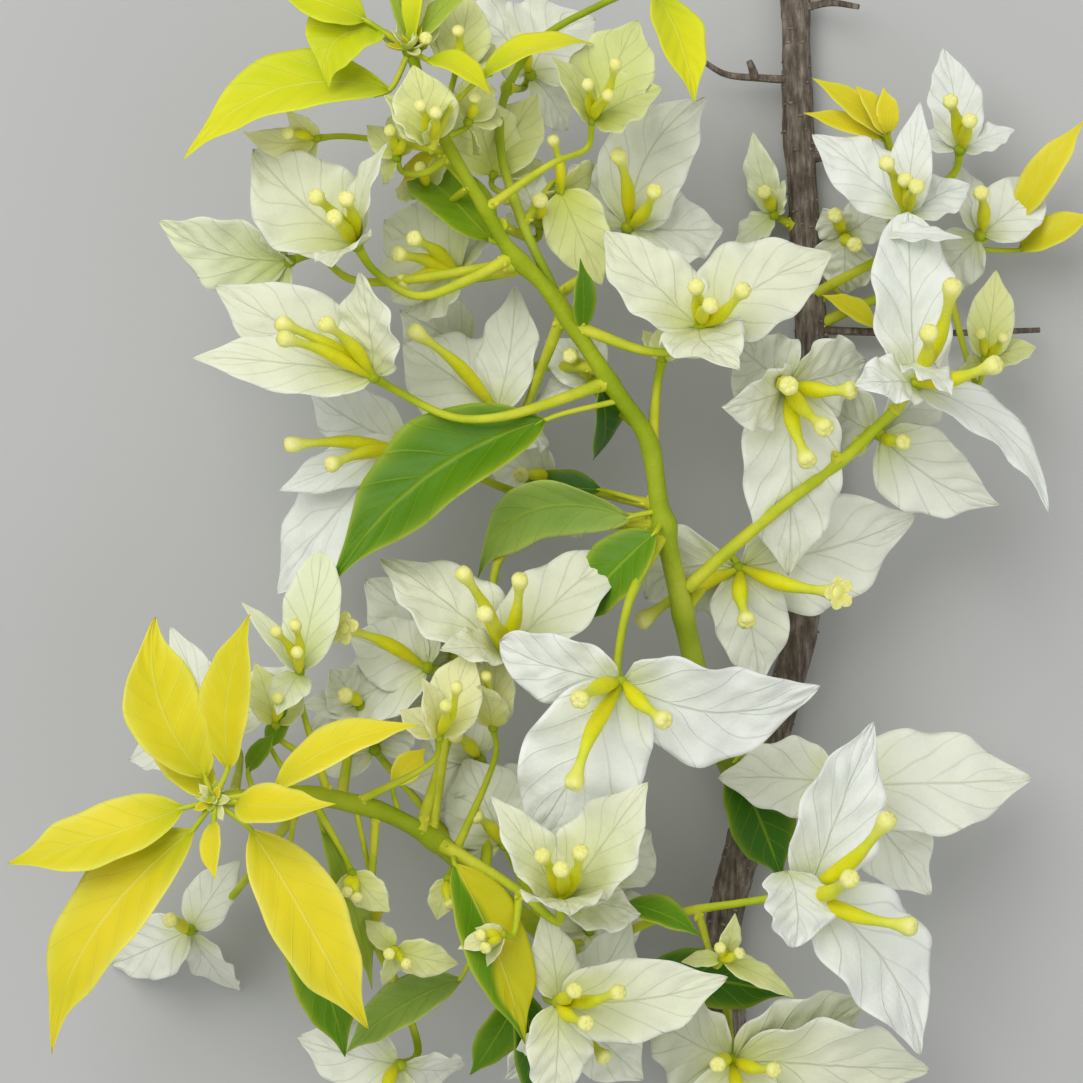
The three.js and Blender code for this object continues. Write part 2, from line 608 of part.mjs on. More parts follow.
// Tufts of young yellow leaves at the tips of the two shoots. Each leaf grows from the tuft's heart.
const tufts = [
  {
    name: "crown_tuft", heart: [82, 10, 71], on: "main_shoot",
    leaves: [
      { tip: [36.6, 32, 68], width: 17, arch: 0.08, bow: -0.15, faces: [110, 55], base: [78, 18, 70] },
      { tip: [65.8, 17.6, 74], width: 15, arch: 0.16, bow: -0.3, faces: [100, 60], base: [76.4, 6.2, 71] },
      { tip: [55, -1.6, 72], width: 11, arch: 0.08, faces: [90, 60], base: [73, 4, 72] },
      { tip: [98.4, 19.4, 77], width: 7, arch: 0.2, faces: [80, 50], base: [85.4, 12, 73] },
      { tip: [74, -12, 70], width: 6, arch: 0.1, faces: [20, 60] },
      { tip: [87, -14, 73], width: 6, arch: 0.1, faces: [160, 60] },
      { tip: [96, -4, 68], width: 7, arch: 0.1, faces: [120, 60] },
    ],
  },
  {
    name: "rosette_tuft", heart: [42.8, 160.2, 70], on: "side_shoot",
    leaves: [
      { tip: [29.2, 124, 74], width: 18, arch: 0.06, bow: 0.14, faces: [40, 65] },
      { tip: [50, 122.8, 78], width: 13, arch: 0.06, bow: 0.04, faces: [170, 65] },
      { tip: [84, 145, 76], width: 10, arch: 0.1, bow: 0.04, faces: [110, 50], base: [55, 157.8, 73] },
      { tip: [67.2, 160.8, 86], width: 9.5, arch: 0.12, faces: [95, 55] },
      { tip: [72.2, 206.8, 70], width: 18, arch: 0.08, faces: [50, 65] },
      { tip: [7.8, 208.2, 70], width: 20, arch: 0.08, bow: -0.04, faces: [130, 60] },
      { tip: [1.4, 172.8, 72], width: 14, arch: 0.06, bow: -0.03, faces: [90, 60] },
      { tip: [43.2, 176, 82], width: 6, arch: 0.08, faces: [250, 60] },
      { tip: [30, 145, 60], width: 10, arch: 0.05, faces: [40, 70] },
    ],
  },
];

// A stalk from a limb to a heart, arriving along the way the bloom faces.
function stalkCurve(start, via, heart, arrive) {
  const reach = start.distanceTo(heart);
  const last = heart.clone().addScaledVector(arrive, -arrival.share * Math.min(reach, arrival.longest));
  return new THREE.CatmullRomCurve3([start, ...via, last, heart], false, "centripetal");
}

function stalkSteps(curve) {
  return Math.max(2, Math.round(curve.getLength() / stalkStep));
}

function stalkSolid(curve, radius, grow) {
  return limbSolid(curve, () => radius, stalkSides, stalkSteps(curve), grow);
}

// The place on a stalk's straight stretches at a share of its length.
function stalkPoint(curve, at) {
  const steps = stalkSteps(curve);
  const before = Math.floor(at * steps);
  const next = curve.getPointAt((before + 1) / steps);
  return curve.getPointAt(before / steps).lerp(next, at * steps - before);
}

// The swelling where bracts or leaf stalks meet.
function hubSolid(heart, radius, grow) {
  const geometry = new THREE.OctahedronGeometry(radius + grow, 0);
  geometry.deleteAttribute("normal");
  geometry.deleteAttribute("uv");
  return solidOf(geometry.translate(heart.x, heart.y, heart.z));
}

// A bloom on its stalk, with the leaves and the further blooms that grow from the same stalk.
function bloomParts(bloom, start, grow) {
  const heart = place(bloom.heart);
  const axis = direction(bloom.faces);
  const via = (bloom.via ?? []).map(place);
  const size = bloom.young ? youngShare : 1;
  const hub = hubRadius.bloom * size;
  const stalk = stalkCurve(start, via, heart, axis);
  const radius = bloom.stalk ?? stalkRadius * size;
  const parts = [stalkSolid(stalk, radius, grow), hubSolid(heart, hub, grow)];
  const outward = bloom.tips.map((seen) => place(seen).sub(heart).normalize());
  bloom.tips.forEach((seen, i) => {
    const base = heart.clone().addScaledVector(outward[i], hub * spring.out);
    base.addScaledVector(axis, -hub * spring.back);
    parts.push(
      bladeSolid({
        base, tip: place(seen), face: axis, width: seen[3], bow: seen[4],
        thickness: bladeThickness.bract, shape: bractShape, grow,
      }),
    );
  });
  bloom.heads.forEach((seen, i) => {
    const foot = heart.clone().addScaledVector(outward[i % outward.length], hub * spring.out);
    foot.addScaledVector(axis, hub * spring.front);
    parts.push(flowerSolid(foot, place(seen), size, grow));
  });
  for (const leaf of bloom.leaves ?? []) parts.push(...leafParts(leaf, stalkPoint(stalk, leaf.at), grow));
  for (const side of bloom.sides ?? []) parts.push(...bloomParts(side, stalkPoint(stalk, side.at), grow));
  return parts;
}

function bloomSolid(bloom, grow) {
  return union(bloomParts(bloom, onLimb(bloom.on, bloom.from), grow));
}

// A leaf: its blade, and its petiole from the start unless the blade begins there.
function leafParts({ base, tip, width, faces, arch, bow }, start, grow) {
  const foot = base ? place(base) : start;
  const end = place(tip);
  const blade = bladeSolid({
    base: foot, tip: end, face: direction(faces), width, thickness: bladeThickness.leaf,
    shape: leafShape, arch, bow, grow,
  });
  if (!base) return [blade];
  const sunk = foot.clone().lerp(end, petioleEnd);
  const petiole = new THREE.CatmullRomCurve3([start, foot, sunk], false, "centripetal");
  return [stalkSolid(petiole, petioleRadius, grow), blade];
}

function leafSolid(leaf, grow) {
  return union(leafParts(leaf, onLimb(leaf.on, leaf.from), grow));
}

function tuftSolid(tuft, grow) {
  const heart = place(tuft.heart);
  const limb = limbs[tuft.on];
  const start = limb.curve.getPointAt(1);
  const stem = new THREE.CatmullRomCurve3([start, heart], false, "centripetal");
  const parts = [
    limbSolid(stem, () => limb.radius[1], 6, 1, grow),
    hubSolid(heart, hubRadius.tuft, grow),
  ];
  for (const leaf of tuft.leaves) {
    const outward = place(leaf.base ?? leaf.tip).sub(heart).normalize();
    const from = heart.clone().addScaledVector(outward, hubRadius.tuft * spring.leaf);
    parts.push(...leafParts(leaf, from, grow));
  }
  return union(parts);
}

function limbPart(limb, grow) {
  return limbSolid(limb.curve, limb.radiusAt, limb.sides, limb.steps, grow);
}

function woodyPart(grow) {
  const twigs = snags.map((snag) => limbSolid(snag.curve, snag.radiusAt, snagSides, snagSteps, grow));
  return union([limbPart(limbs.woody_stem, grow), ...twigs]);
}

const finishes = {
  bark: new THREE.MeshStandardMaterial({ color: 0x6a5a4c, roughness: 0.85 }),
  shoot: new THREE.MeshStandardMaterial({ color: 0x9cb832, roughness: 0.5 }),
  bract: new THREE.MeshStandardMaterial({ color: 0xeef0e6, roughness: 0.6 }),
  youngBract: new THREE.MeshStandardMaterial({ color: 0xdfe4b4, roughness: 0.6 }),
  greenLeaf: new THREE.MeshStandardMaterial({ color: 0x4f8a1c, roughness: 0.45 }),
  yellowLeaf: new THREE.MeshStandardMaterial({ color: 0xe6d81e, roughness: 0.45 }),
};

// Limbs stay whole before tufts, and tufts before the rest, which go by their height.
const cutOrder = { limb: 1000, tuft: 500 };

// Every piece with the way to make it, and to make it a little larger for cutting its neighbours clear.
const pieces = [
  ...Object.entries(limbs).map(([name, limb]) => ({
    name,
    order: cutOrder.limb,
    finish: name === "woody_stem" ? finishes.bark : finishes.shoot,
    make: name === "woody_stem" ? woodyPart : (grow) => limbPart(limb, grow),
  })),
  ...tufts.map((tuft) => ({
    name: tuft.name,
    order: cutOrder.tuft,
    finish: finishes.yellowLeaf,
    make: (grow) => tuftSolid(tuft, grow),
  })),
  ...blooms.map((bloom) => ({
    name: bloom.name,
    order: bloom.heart[2],
    finish: bloom.young ? finishes.youngBract : finishes.bract,
    make: (grow) => bloomSolid(bloom, grow),
  })),
  ...leaves.map((leaf) => ({
    name: leaf.name,
    order: leaf.base[2],
    finish: leaf.yellow ? finishes.yellowLeaf : finishes.greenLeaf,
    make: (grow) => leafSolid(leaf, grow),
  })),
];

// The highest pieces stay whole, and each later one is cut clear of those it would touch.
const branch = new THREE.Group();
const placed = [];
for (const piece of pieces.sort((a, b) => b.order - a.order)) {
  let solid = piece.make(0);
  const near = placed.filter((other) => solid.intersect(other).volume() > 0);
  for (const other of near) solid = solid.subtract(other);
  const largest = solid.decompose().reduce((a, b) => (a.volume() > b.volume() ? a : b));
  placed.push(piece.make(cutGap));
  const mesh = new THREE.Mesh(geometryOf(largest), piece.finish);
  mesh.name = piece.name;
  branch.add(mesh);
}

// The origin is under the middle of the branch, on the table.
const extent = new THREE.Box3().setFromObject(branch);
const middle = extent.getCenter(new THREE.Vector3());
branch.position.set(-middle.x, -middle.y, -extent.min.z);

export default branch;
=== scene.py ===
# A cut flowering branch of white bougainvillea, lying on a table and seen from straight above.
# Places are [across, down, height] in mm, as they are seen in the view, and are made into metres at the end.
import math

import bpy
import numpy as np
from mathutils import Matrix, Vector, noise


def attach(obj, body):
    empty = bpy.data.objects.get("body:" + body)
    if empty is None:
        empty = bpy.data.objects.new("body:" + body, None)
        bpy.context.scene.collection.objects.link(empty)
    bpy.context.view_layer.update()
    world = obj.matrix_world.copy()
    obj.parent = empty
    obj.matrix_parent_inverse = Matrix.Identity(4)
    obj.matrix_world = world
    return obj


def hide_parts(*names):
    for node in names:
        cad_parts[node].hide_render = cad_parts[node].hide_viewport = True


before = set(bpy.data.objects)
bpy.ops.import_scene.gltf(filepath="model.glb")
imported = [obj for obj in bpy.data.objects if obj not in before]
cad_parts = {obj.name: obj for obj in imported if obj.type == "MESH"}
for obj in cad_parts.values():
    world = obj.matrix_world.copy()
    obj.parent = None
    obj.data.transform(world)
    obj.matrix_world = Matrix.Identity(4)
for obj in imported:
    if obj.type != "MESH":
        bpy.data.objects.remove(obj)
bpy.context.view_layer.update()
print("frame loaded:", len(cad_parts), "nodes")

view = {
    "side": 216.6,  # width of the square that is seen at middleHeight
    "eyeHeight": 675.0,
    "middleHeight": 55.0,
    "originAcross": 6.684,  # where the part's origin lies, from the middle of the view
    "originUp": -1.946,
}
curveSteps = 12  # points on a curve between two given ones, before it is cut into equal steps


def place(seen):
    across, down, height = seen[:3]
    nearer = (view["eyeHeight"] - height) / (view["eyeHeight"] - view["middleHeight"])
    x = (across - view["side"] / 2) * nearer - view["originAcross"]
    y = (view["side"] / 2 - down) * nearer - view["originUp"]
    return np.array([x, y, height])


def direction(faces):
    turn, rise = math.radians(faces[0]), math.radians(faces[1])
    return np.array([math.cos(turn) * math.cos(rise), math.sin(turn) * math.cos(rise), math.sin(rise)])


def unit(v):
    return v / max(np.linalg.norm(v), 1e-9)


def around(axis, hint, turn):
    # A direction at right angles to the axis, turned about it from one that the hint gives.
    across = unit(np.cross(axis, hint))
    return across * math.cos(turn) + np.cross(axis, across) * math.sin(turn)


def smoothPath(points, count):
    # The curve through the points, the same one as the part's, in equal steps.
    p = [np.array(q, float) for q in points]
    p = [2 * p[0] - p[1]] + p + [2 * p[-1] - p[-2]]
    fine = []
    for i in range(1, len(p) - 2):
        a, b, c, d = p[i - 1 : i + 3]
        before, mid, after = (max(np.linalg.norm(n - m), 1e-6) ** 0.5 for m, n in ((a, b), (b, c), (c, d)))
        leave = ((b - a) / before - (c - a) / (before + mid) + (c - b) / mid) * mid
        reach = ((c - b) / mid - (d - b) / (mid + after) + (d - c) / after) * mid
        ends = curveSteps + (i == len(p) - 3)
        for t in np.linspace(0, 1, curveSteps + 1)[:ends]:
            cubic = (2 * b - 2 * c + leave + reach) * t**3
            fine.append(cubic + (3 * c - 3 * b - 2 * leave - reach) * t**2 + leave * t + b)
    fine = np.array(fine)
    run = np.concatenate([[0], np.cumsum(np.linalg.norm(np.diff(fine, axis=0), axis=1))])
    steps = np.linspace(0, run[-1], count + 1)
    return np.stack([np.interp(steps, run, fine[:, k]) for k in range(3)], 1)


def pathAt(path, share):
    at = share * (len(path) - 1)
    i = min(int(at), len(path) - 2)
    return path[i] + (path[i + 1] - path[i]) * (at - i)


def addObject(name, data):
    made = bpy.data.objects.new(name, data)
    bpy.context.scene.collection.objects.link(made)
    return made


def newMesh(name, verts, faces, material, uv=None, tint=None):
    mesh = bpy.data.meshes.new(name)
    mesh.from_pydata((np.asarray(verts) / 1000).tolist(), [], faces)
    mesh.materials.append(material)
    if uv is not None:
        corners = np.empty(len(mesh.loops), np.int32)
        mesh.loops.foreach_get("vertex_index", corners)
        mesh.uv_layers.new(name="blade").data.foreach_set("uv", uv[corners].ravel())
        layer = mesh.color_attributes.new("tint", "FLOAT_COLOR", "POINT")
        layer.data.foreach_set("color", np.concatenate([tint, np.ones((len(tint), 1))], 1).ravel())
    mesh.polygons.foreach_set("use_smooth", [True] * len(mesh.polygons))
    mesh.update()
    return addObject(name, mesh)


# Node trees: a value goes into a socket as it is, and another node's output is linked to it.


def feed(tree, socket, value):
    if isinstance(value, bpy.types.NodeSocket):
        tree.links.new(value, socket)
    else:
        socket.default_value = value


def addNode(tree, kind, inputs=None, **fields):
    node = tree.nodes.new(kind)
    for field, value in fields.items():
        setattr(node, field, value)
    for key, value in (inputs or {}).items():
        feed(tree, node.inputs[key], value)
    return node


def calc(tree, operation, *values):
    return addNode(tree, "ShaderNodeMath", dict(enumerate(values)), operation=operation).outputs[0]


def mixColour(tree, kind, share, a, b):
    inputs = {0: share, 6: a, 7: b}
    return addNode(tree, "ShaderNodeMix", inputs, data_type="RGBA", blend_type=kind).outputs[2]


def speckle(tree, spot, scale, detail=2.0, rough=0.5):
    inputs = {"Vector": spot, "Scale": scale, "Detail": detail, "Roughness": rough}
    return addNode(tree, "ShaderNodeTexNoise", inputs).outputs[0]


def ramp(tree, share, stops):
    node = addNode(tree, "ShaderNodeValToRGB", {0: share})
    band = node.color_ramp
    while len(band.elements) < len(stops):
        band.elements.new(0.5)
    for element, (at, colour) in zip(band.elements, stops):
        element.position = at
        element.color = (*colour, 1)
    return node.outputs[0]


# Materials


def startMaterial(name, look):
    material = bpy.data.materials.new(name)
    material.use_nodes = True
    tree = material.node_tree
    skin = tree.nodes["Principled BSDF"]
    skin.inputs["Roughness"].default_value = look["roughness"]
    skin.inputs["Specular IOR Level"].default_value = look["specular"]
    return material, tree, skin


def objectSpot(tree):
    return addNode(tree, "ShaderNodeTexCoord").outputs["Object"]


def dress(tree, skin, colour, height, look):
    inputs = {"Strength": look["bump"], "Distance": look["depth"], "Height": height}
    relief = addNode(tree, "ShaderNodeBump", inputs)
    feed(tree, skin.inputs["Base Color"], colour)
    feed(tree, skin.inputs["Normal"], relief.outputs[0])


def veinMaterial(name, look):
    # A blade's colour is its tint, darkened or lightened along veins that follow its own UV map:
    # u runs from base to tip, v from edge to edge with the midrib halfway.
    material, tree, skin = startMaterial(name, look)
    spot = objectSpot(tree)
    tint = addNode(tree, "ShaderNodeAttribute", attribute_name="tint").outputs["Color"]
    where = addNode(tree, "ShaderNodeUVMap", uv_map="blade").outputs[0]
    parts = addNode(tree, "ShaderNodeSeparateXYZ", {0: where}).outputs

    def line(away, width):  # 0 in the middle of a vein, 1 beside it
        return calc(tree, "SMOOTH_MIN", calc(tree, "DIVIDE", away, width), 1.0, look["soft"])

    def inked(vein, share):
        return calc(tree, "MULTIPLY", calc(tree, "SUBTRACT", 1.0, vein), share)

    aside = calc(tree, "ABSOLUTE", calc(tree, "SUBTRACT", parts[1], 0.5))
    reach = calc(tree, "POWER", calc(tree, "MULTIPLY", aside, 2.0), look["curve"])
    rise = calc(tree, "MULTIPLY", reach, look["rise"])
    phase = calc(tree, "SUBTRACT", calc(tree, "MULTIPLY", parts[0], look["pairs"]), rise)
    wander = calc(tree, "MULTIPLY", speckle(tree, spot, look["wanderScale"], 1.0), look["wander"])
    phase = calc(tree, "FRACT", calc(tree, "ADD", phase, wander))
    side = line(calc(tree, "ABSOLUTE", calc(tree, "SUBTRACT", phase, 0.5)), look["sideWidth"])
    middle = line(aside, look["midWidth"])
    cells = addNode(
        tree, "ShaderNodeTexVoronoi", {"Vector": spot, "Scale": look["netScale"], "Randomness": 0.9},
        feature="DISTANCE_TO_EDGE",
    )
    net = line(cells.outputs["Distance"], look["netWidth"])
    veins = calc(tree, "MAXIMUM", inked(side, look["veinShare"]), inked(middle, look["midShare"]))
    colour = mixColour(tree, "MIX", veins, tint, look["veinColour"])
    colour = mixColour(tree, "MULTIPLY", inked(net, look["netShare"]), colour, look["netColour"])
    blotch = speckle(tree, spot, look["blotchScale"])
    tone = ramp(tree, blotch, [(0.3, look["blotchColour"]), (0.7, (1.0, 1.0, 1.0))])
    grain = calc(tree, "MULTIPLY", speckle(tree, spot, look["grainScale"]), look["grainDepth"])
    height = calc(tree, "MULTIPLY", calc(tree, "MULTIPLY", side, middle), look["veinDepth"])
    dress(tree, skin, mixColour(tree, "MULTIPLY", 1.0, colour, tone), calc(tree, "ADD", height, grain), look)
    return material


# Scales are in waves to the metre, widths and shares are fractions, and rise is how far a side vein climbs.
bractLook = {
    "roughness": 0.62, "specular": 0.22, "soft": 0.3, "wanderScale": 70.0, "wander": 1.1, "curve": 0.75,
    "rise": 2.0, "pairs": 5.0, "sideWidth": 0.05, "midWidth": 0.017, "netScale": 420.0, "netWidth": 0.09,
    "veinShare": 0.12, "midShare": 0.46, "veinColour": (0.42, 0.48, 0.24, 1),
    "netShare": 0.16, "netColour": (0.86, 0.89, 0.82, 1), "blotchScale": 60.0,
    "blotchColour": (0.93, 0.94, 0.91), "grainScale": 900.0, "grainDepth": 0.55, "veinDepth": 0.8,
    "bump": 0.4, "depth": 0.0006,
}
greenLook = {
    **bractLook, "roughness": 0.45, "wanderScale": 60.0, "wander": 0.5, "curve": 0.9, "rise": 1.7,
    "pairs": 7.0, "midWidth": 0.035, "netScale": 520.0, "netWidth": 0.08, "veinShare": 0.4, "midShare": 0.6,
    "veinColour": (0.38, 0.50, 0.02, 1), "netShare": 0.2, "netColour": (0.75, 0.82, 0.5, 1),
    "blotchScale": 45.0, "blotchColour": (0.62, 0.72, 0.7), "grainScale": 1100.0, "grainDepth": 0.12,
    "veinDepth": 1.0, "bump": 0.35,
}
yellowLook = {
    **greenLook, "sideWidth": 0.04, "midWidth": 0.024, "veinShare": 0.16, "midShare": 0.42,
    "veinColour": (0.88, 0.82, 0.24, 1), "netShare": 0.06, "netColour": (0.9, 0.92, 0.55, 1),
    "blotchColour": (0.78, 0.88, 0.5), "grainDepth": 0.2, "veinDepth": 0.8, "bump": 0.3,
}
bractSkin = veinMaterial("papery bract", bractLook)
greenSkin = veinMaterial("green leaf", greenLook)
yellowSkin = veinMaterial("young yellow leaf", yellowLook)


def lengthMaterial(name, look, stops):
    # Stalks and flowers take their colour from how far along them a place is, kept as an attribute.
    material, tree, skin = startMaterial(name, look)
    spot = objectSpot(tree)
    along = addNode(tree, "ShaderNodeAttribute", attribute_name="along").outputs["Fac"]
    patch = speckle(tree, spot, look["patchScale"])
    tone = ramp(tree, patch, [(0.32, look["patchColour"]), (0.62, (1.0, 1.0, 1.0))])
    colour = mixColour(tree, "MULTIPLY", 1.0, ramp(tree, along, stops), tone)
    dress(tree, skin, colour, speckle(tree, spot, look["grainScale"]), look)
    return material


flowerLook = {
    "roughness": 0.5, "specular": 0.22, "patchScale": 260.0, "patchColour": (0.9, 0.94, 0.6),
    "grainScale": 1600.0, "bump": 0.5, "depth": 0.0003,
}
capLook = {**flowerLook, "roughness": 0.55, "patchScale": 500.0, "patchColour": (0.92, 0.95, 0.7)}
stalkLook = {
    **flowerLook, "specular": 0.14, "patchScale": 140.0, "patchColour": (0.72, 0.82, 0.4),
    "grainScale": 1200.0, "bump": 0.6,
}
shootLook = {
    **stalkLook, "patchScale": 90.0, "patchColour": (0.66, 0.76, 0.35), "grainScale": 900.0, "bump": 0.8,
}
flowerSkin = lengthMaterial("tubular flower", flowerLook, [
    (0.0, (0.54, 0.58, 0.014)), (0.25, (0.78, 0.72, 0.01)), (0.5, (0.76, 0.74, 0.016)),
    (0.72, (0.70, 0.73, 0.06)), (0.86, (0.82, 0.81, 0.16)), (0.95, (0.90, 0.86, 0.32)),
])
capSkin = lengthMaterial("flower cap", capLook, [(0.0, (0.88, 0.84, 0.32)), (1.0, (0.88, 0.84, 0.32))])
stalkSkin = lengthMaterial("green stalk", stalkLook, [
    (0.0, (0.66, 0.65, 0.05)), (0.45, (0.60, 0.63, 0.04)), (1.0, (0.50, 0.58, 0.02)),
])
shootSkin = lengthMaterial("green shoot", shootLook, [
    (0.0, (0.28, 0.36, 0.02)), (0.35, (0.46, 0.52, 0.04)), (0.6, (0.35, 0.43, 0.014)),
    (1.0, (0.42, 0.48, 0.02)),
])

barkLook = {
    "roughness": 0.86, "specular": 0.2, "fibres": 900.0, "squeeze": 0.16, "plates": 260.0, "bump": 0.9,
    "depth": 0.0008,
}
lenticelLook = {"roughness": 0.85, "specular": 0.2, "speckle": 1300.0, "bump": 0.5, "depth": 0.0003}


def barkMaterial(look):
    material, tree, skin = startMaterial("woody bark", look)
    spot = objectSpot(tree)
    squeezed = addNode(tree, "ShaderNodeMapping", {"Scale": (1.0, look["squeeze"], 1.0), "Vector": spot})
    fibre = speckle(tree, squeezed.outputs[0], look["fibres"], 4.0, 0.7)
    plate = speckle(tree, spot, look["plates"], 3.0)
    colour = ramp(tree, fibre, [
        (0.3, (0.07, 0.055, 0.045)), (0.5, (0.17, 0.14, 0.115)), (0.72, (0.34, 0.30, 0.255)),
    ])
    patches = ramp(tree, plate, [(0.4, (0.8, 0.76, 0.7)), (0.62, (1.15, 1.12, 1.08))])
    colour = mixColour(tree, "MULTIPLY", 1.0, colour, patches)
    dress(tree, skin, colour, calc(tree, "ADD", fibre, plate), look)
    return material


def lenticelMaterial(look):
    material, tree, skin = startMaterial("bark lenticel", look)
    speck = speckle(tree, objectSpot(tree), look["speckle"], 4.0)
    colour = ramp(tree, speck, [(0.3, (0.13, 0.10, 0.075)), (0.7, (0.34, 0.28, 0.21))])
    dress(tree, skin, colour, speck, look)
    return material


barkSkin = barkMaterial(barkLook)
lenticelSkin = lenticelMaterial(lenticelLook)
print("materials made")


# Blades: bracts and leaves

# "round" and "point" set where a blade is widest and how it narrows to its base and tip, "tail" draws its tip
# out, "cup" lifts its halves, and "arch", "bow" and "hook" bend it up, sideways and sideways at its tip.
bladeForm = {
    "bract": {"round": 0.46, "point": 0.8, "arch": 0.07, "cup": 0.16, "ruffle": 0.12, "waves": 3.2,
              "pucker": 0.32, "crease": 0.5, "tail": 0.3, "hook": 0.0, "thickness": 0.32},
    "leaf": {"round": 0.66, "point": 0.92, "arch": 0.08, "cup": 0.22, "ruffle": 0.05, "waves": 2.2,
             "pucker": 0.2, "crease": 0.16, "tail": 0.42, "hook": 0.0, "thickness": 0.42},
}
bladeMesh = {"wideFrom": 12.0, "wide": (36, 18), "narrow": (20, 10)}  # steps along and across
bladeDetail = {
    "tailFrom": 0.68, "tailOver": 0.24, "neck": 0.6, "tipHalf": 0.04, "wobbles": ((0.035, 9), (0.02, 23)),
    "veinPairs": 6, "veinRise": 1.6, "coarse": (5, 9), "fine": (2.2, 4.2), "ragged": 0.4,
}
# A blade's colours: at its base, over the blade and at its edge, how far the first one reaches from the base,
# and what its underside is toned by.
tints = {
    "bract": ((0.56, 0.61, 0.18), (0.82, 0.83, 0.70), (0.85, 0.86, 0.75), 0.32, (0.98, 1.0, 0.92)),
    "ivory": ((0.57, 0.61, 0.16), (0.80, 0.81, 0.61), (0.84, 0.85, 0.70), 0.45, (0.97, 1.0, 0.9)),
    "snow": ((0.58, 0.64, 0.24), (0.84, 0.86, 0.79), (0.87, 0.88, 0.82), 0.25, (0.98, 1.0, 0.95)),
    "young": ((0.54, 0.60, 0.05), (0.74, 0.76, 0.32), (0.80, 0.82, 0.46), 0.55, (0.96, 1.0, 0.86)),
    "pearl": ((0.52, 0.60, 0.14), (0.76, 0.79, 0.52), (0.84, 0.86, 0.64), 0.6, (0.96, 1.0, 0.86)),
    "cream": ((0.62, 0.62, 0.02), (0.86, 0.82, 0.26), (0.88, 0.86, 0.40), 0.4, (1.0, 1.0, 1.0)),
    "moss": ((0.50, 0.56, 0.04), (0.62, 0.66, 0.25), (0.72, 0.75, 0.38), 0.6, (0.96, 1.0, 0.86)),
    "butter": ((0.62, 0.62, 0.03), (0.80, 0.79, 0.40), (0.86, 0.85, 0.54), 0.6, (0.98, 1.0, 0.9)),
    "bud": ((0.30, 0.42, 0.02), (0.46, 0.56, 0.06), (0.60, 0.64, 0.12), 0.4, (1.0, 1.0, 1.0)),
    "light": ((0.30, 0.42, 0.01), (0.21, 0.36, 0.006), (0.45, 0.54, 0.03), 0.3, (1.2, 1.1, 4.0)),
    "green": ((0.16, 0.32, 0.01), (0.12, 0.28, 0.003), (0.42, 0.52, 0.03), 0.2, (1.9, 1.35, 8.0)),
    "amber": ((0.50, 0.50, 0.01), (0.64, 0.56, 0.01), (0.74, 0.66, 0.02), 0.3, (0.9, 0.95, 1.0)),
    "pale": ((0.36, 0.46, 0.07), (0.30, 0.43, 0.07), (0.50, 0.58, 0.12), 0.2, (1.2, 1.1, 1.4)),
    "dark": ((0.08, 0.22, 0.004), (0.05, 0.17, 0.003), (0.30, 0.42, 0.02), 0.2, (2.0, 1.5, 8.0)),
    "lime": ((0.46, 0.54, 0.01), (0.74, 0.72, 0.012), (0.82, 0.80, 0.05), 0.4, (0.9, 0.95, 1.0)),
    "yellow": ((0.56, 0.56, 0.01), (0.81, 0.665, 0.02), (0.88, 0.80, 0.14), 0.3, (0.9, 0.95, 1.0)),
}


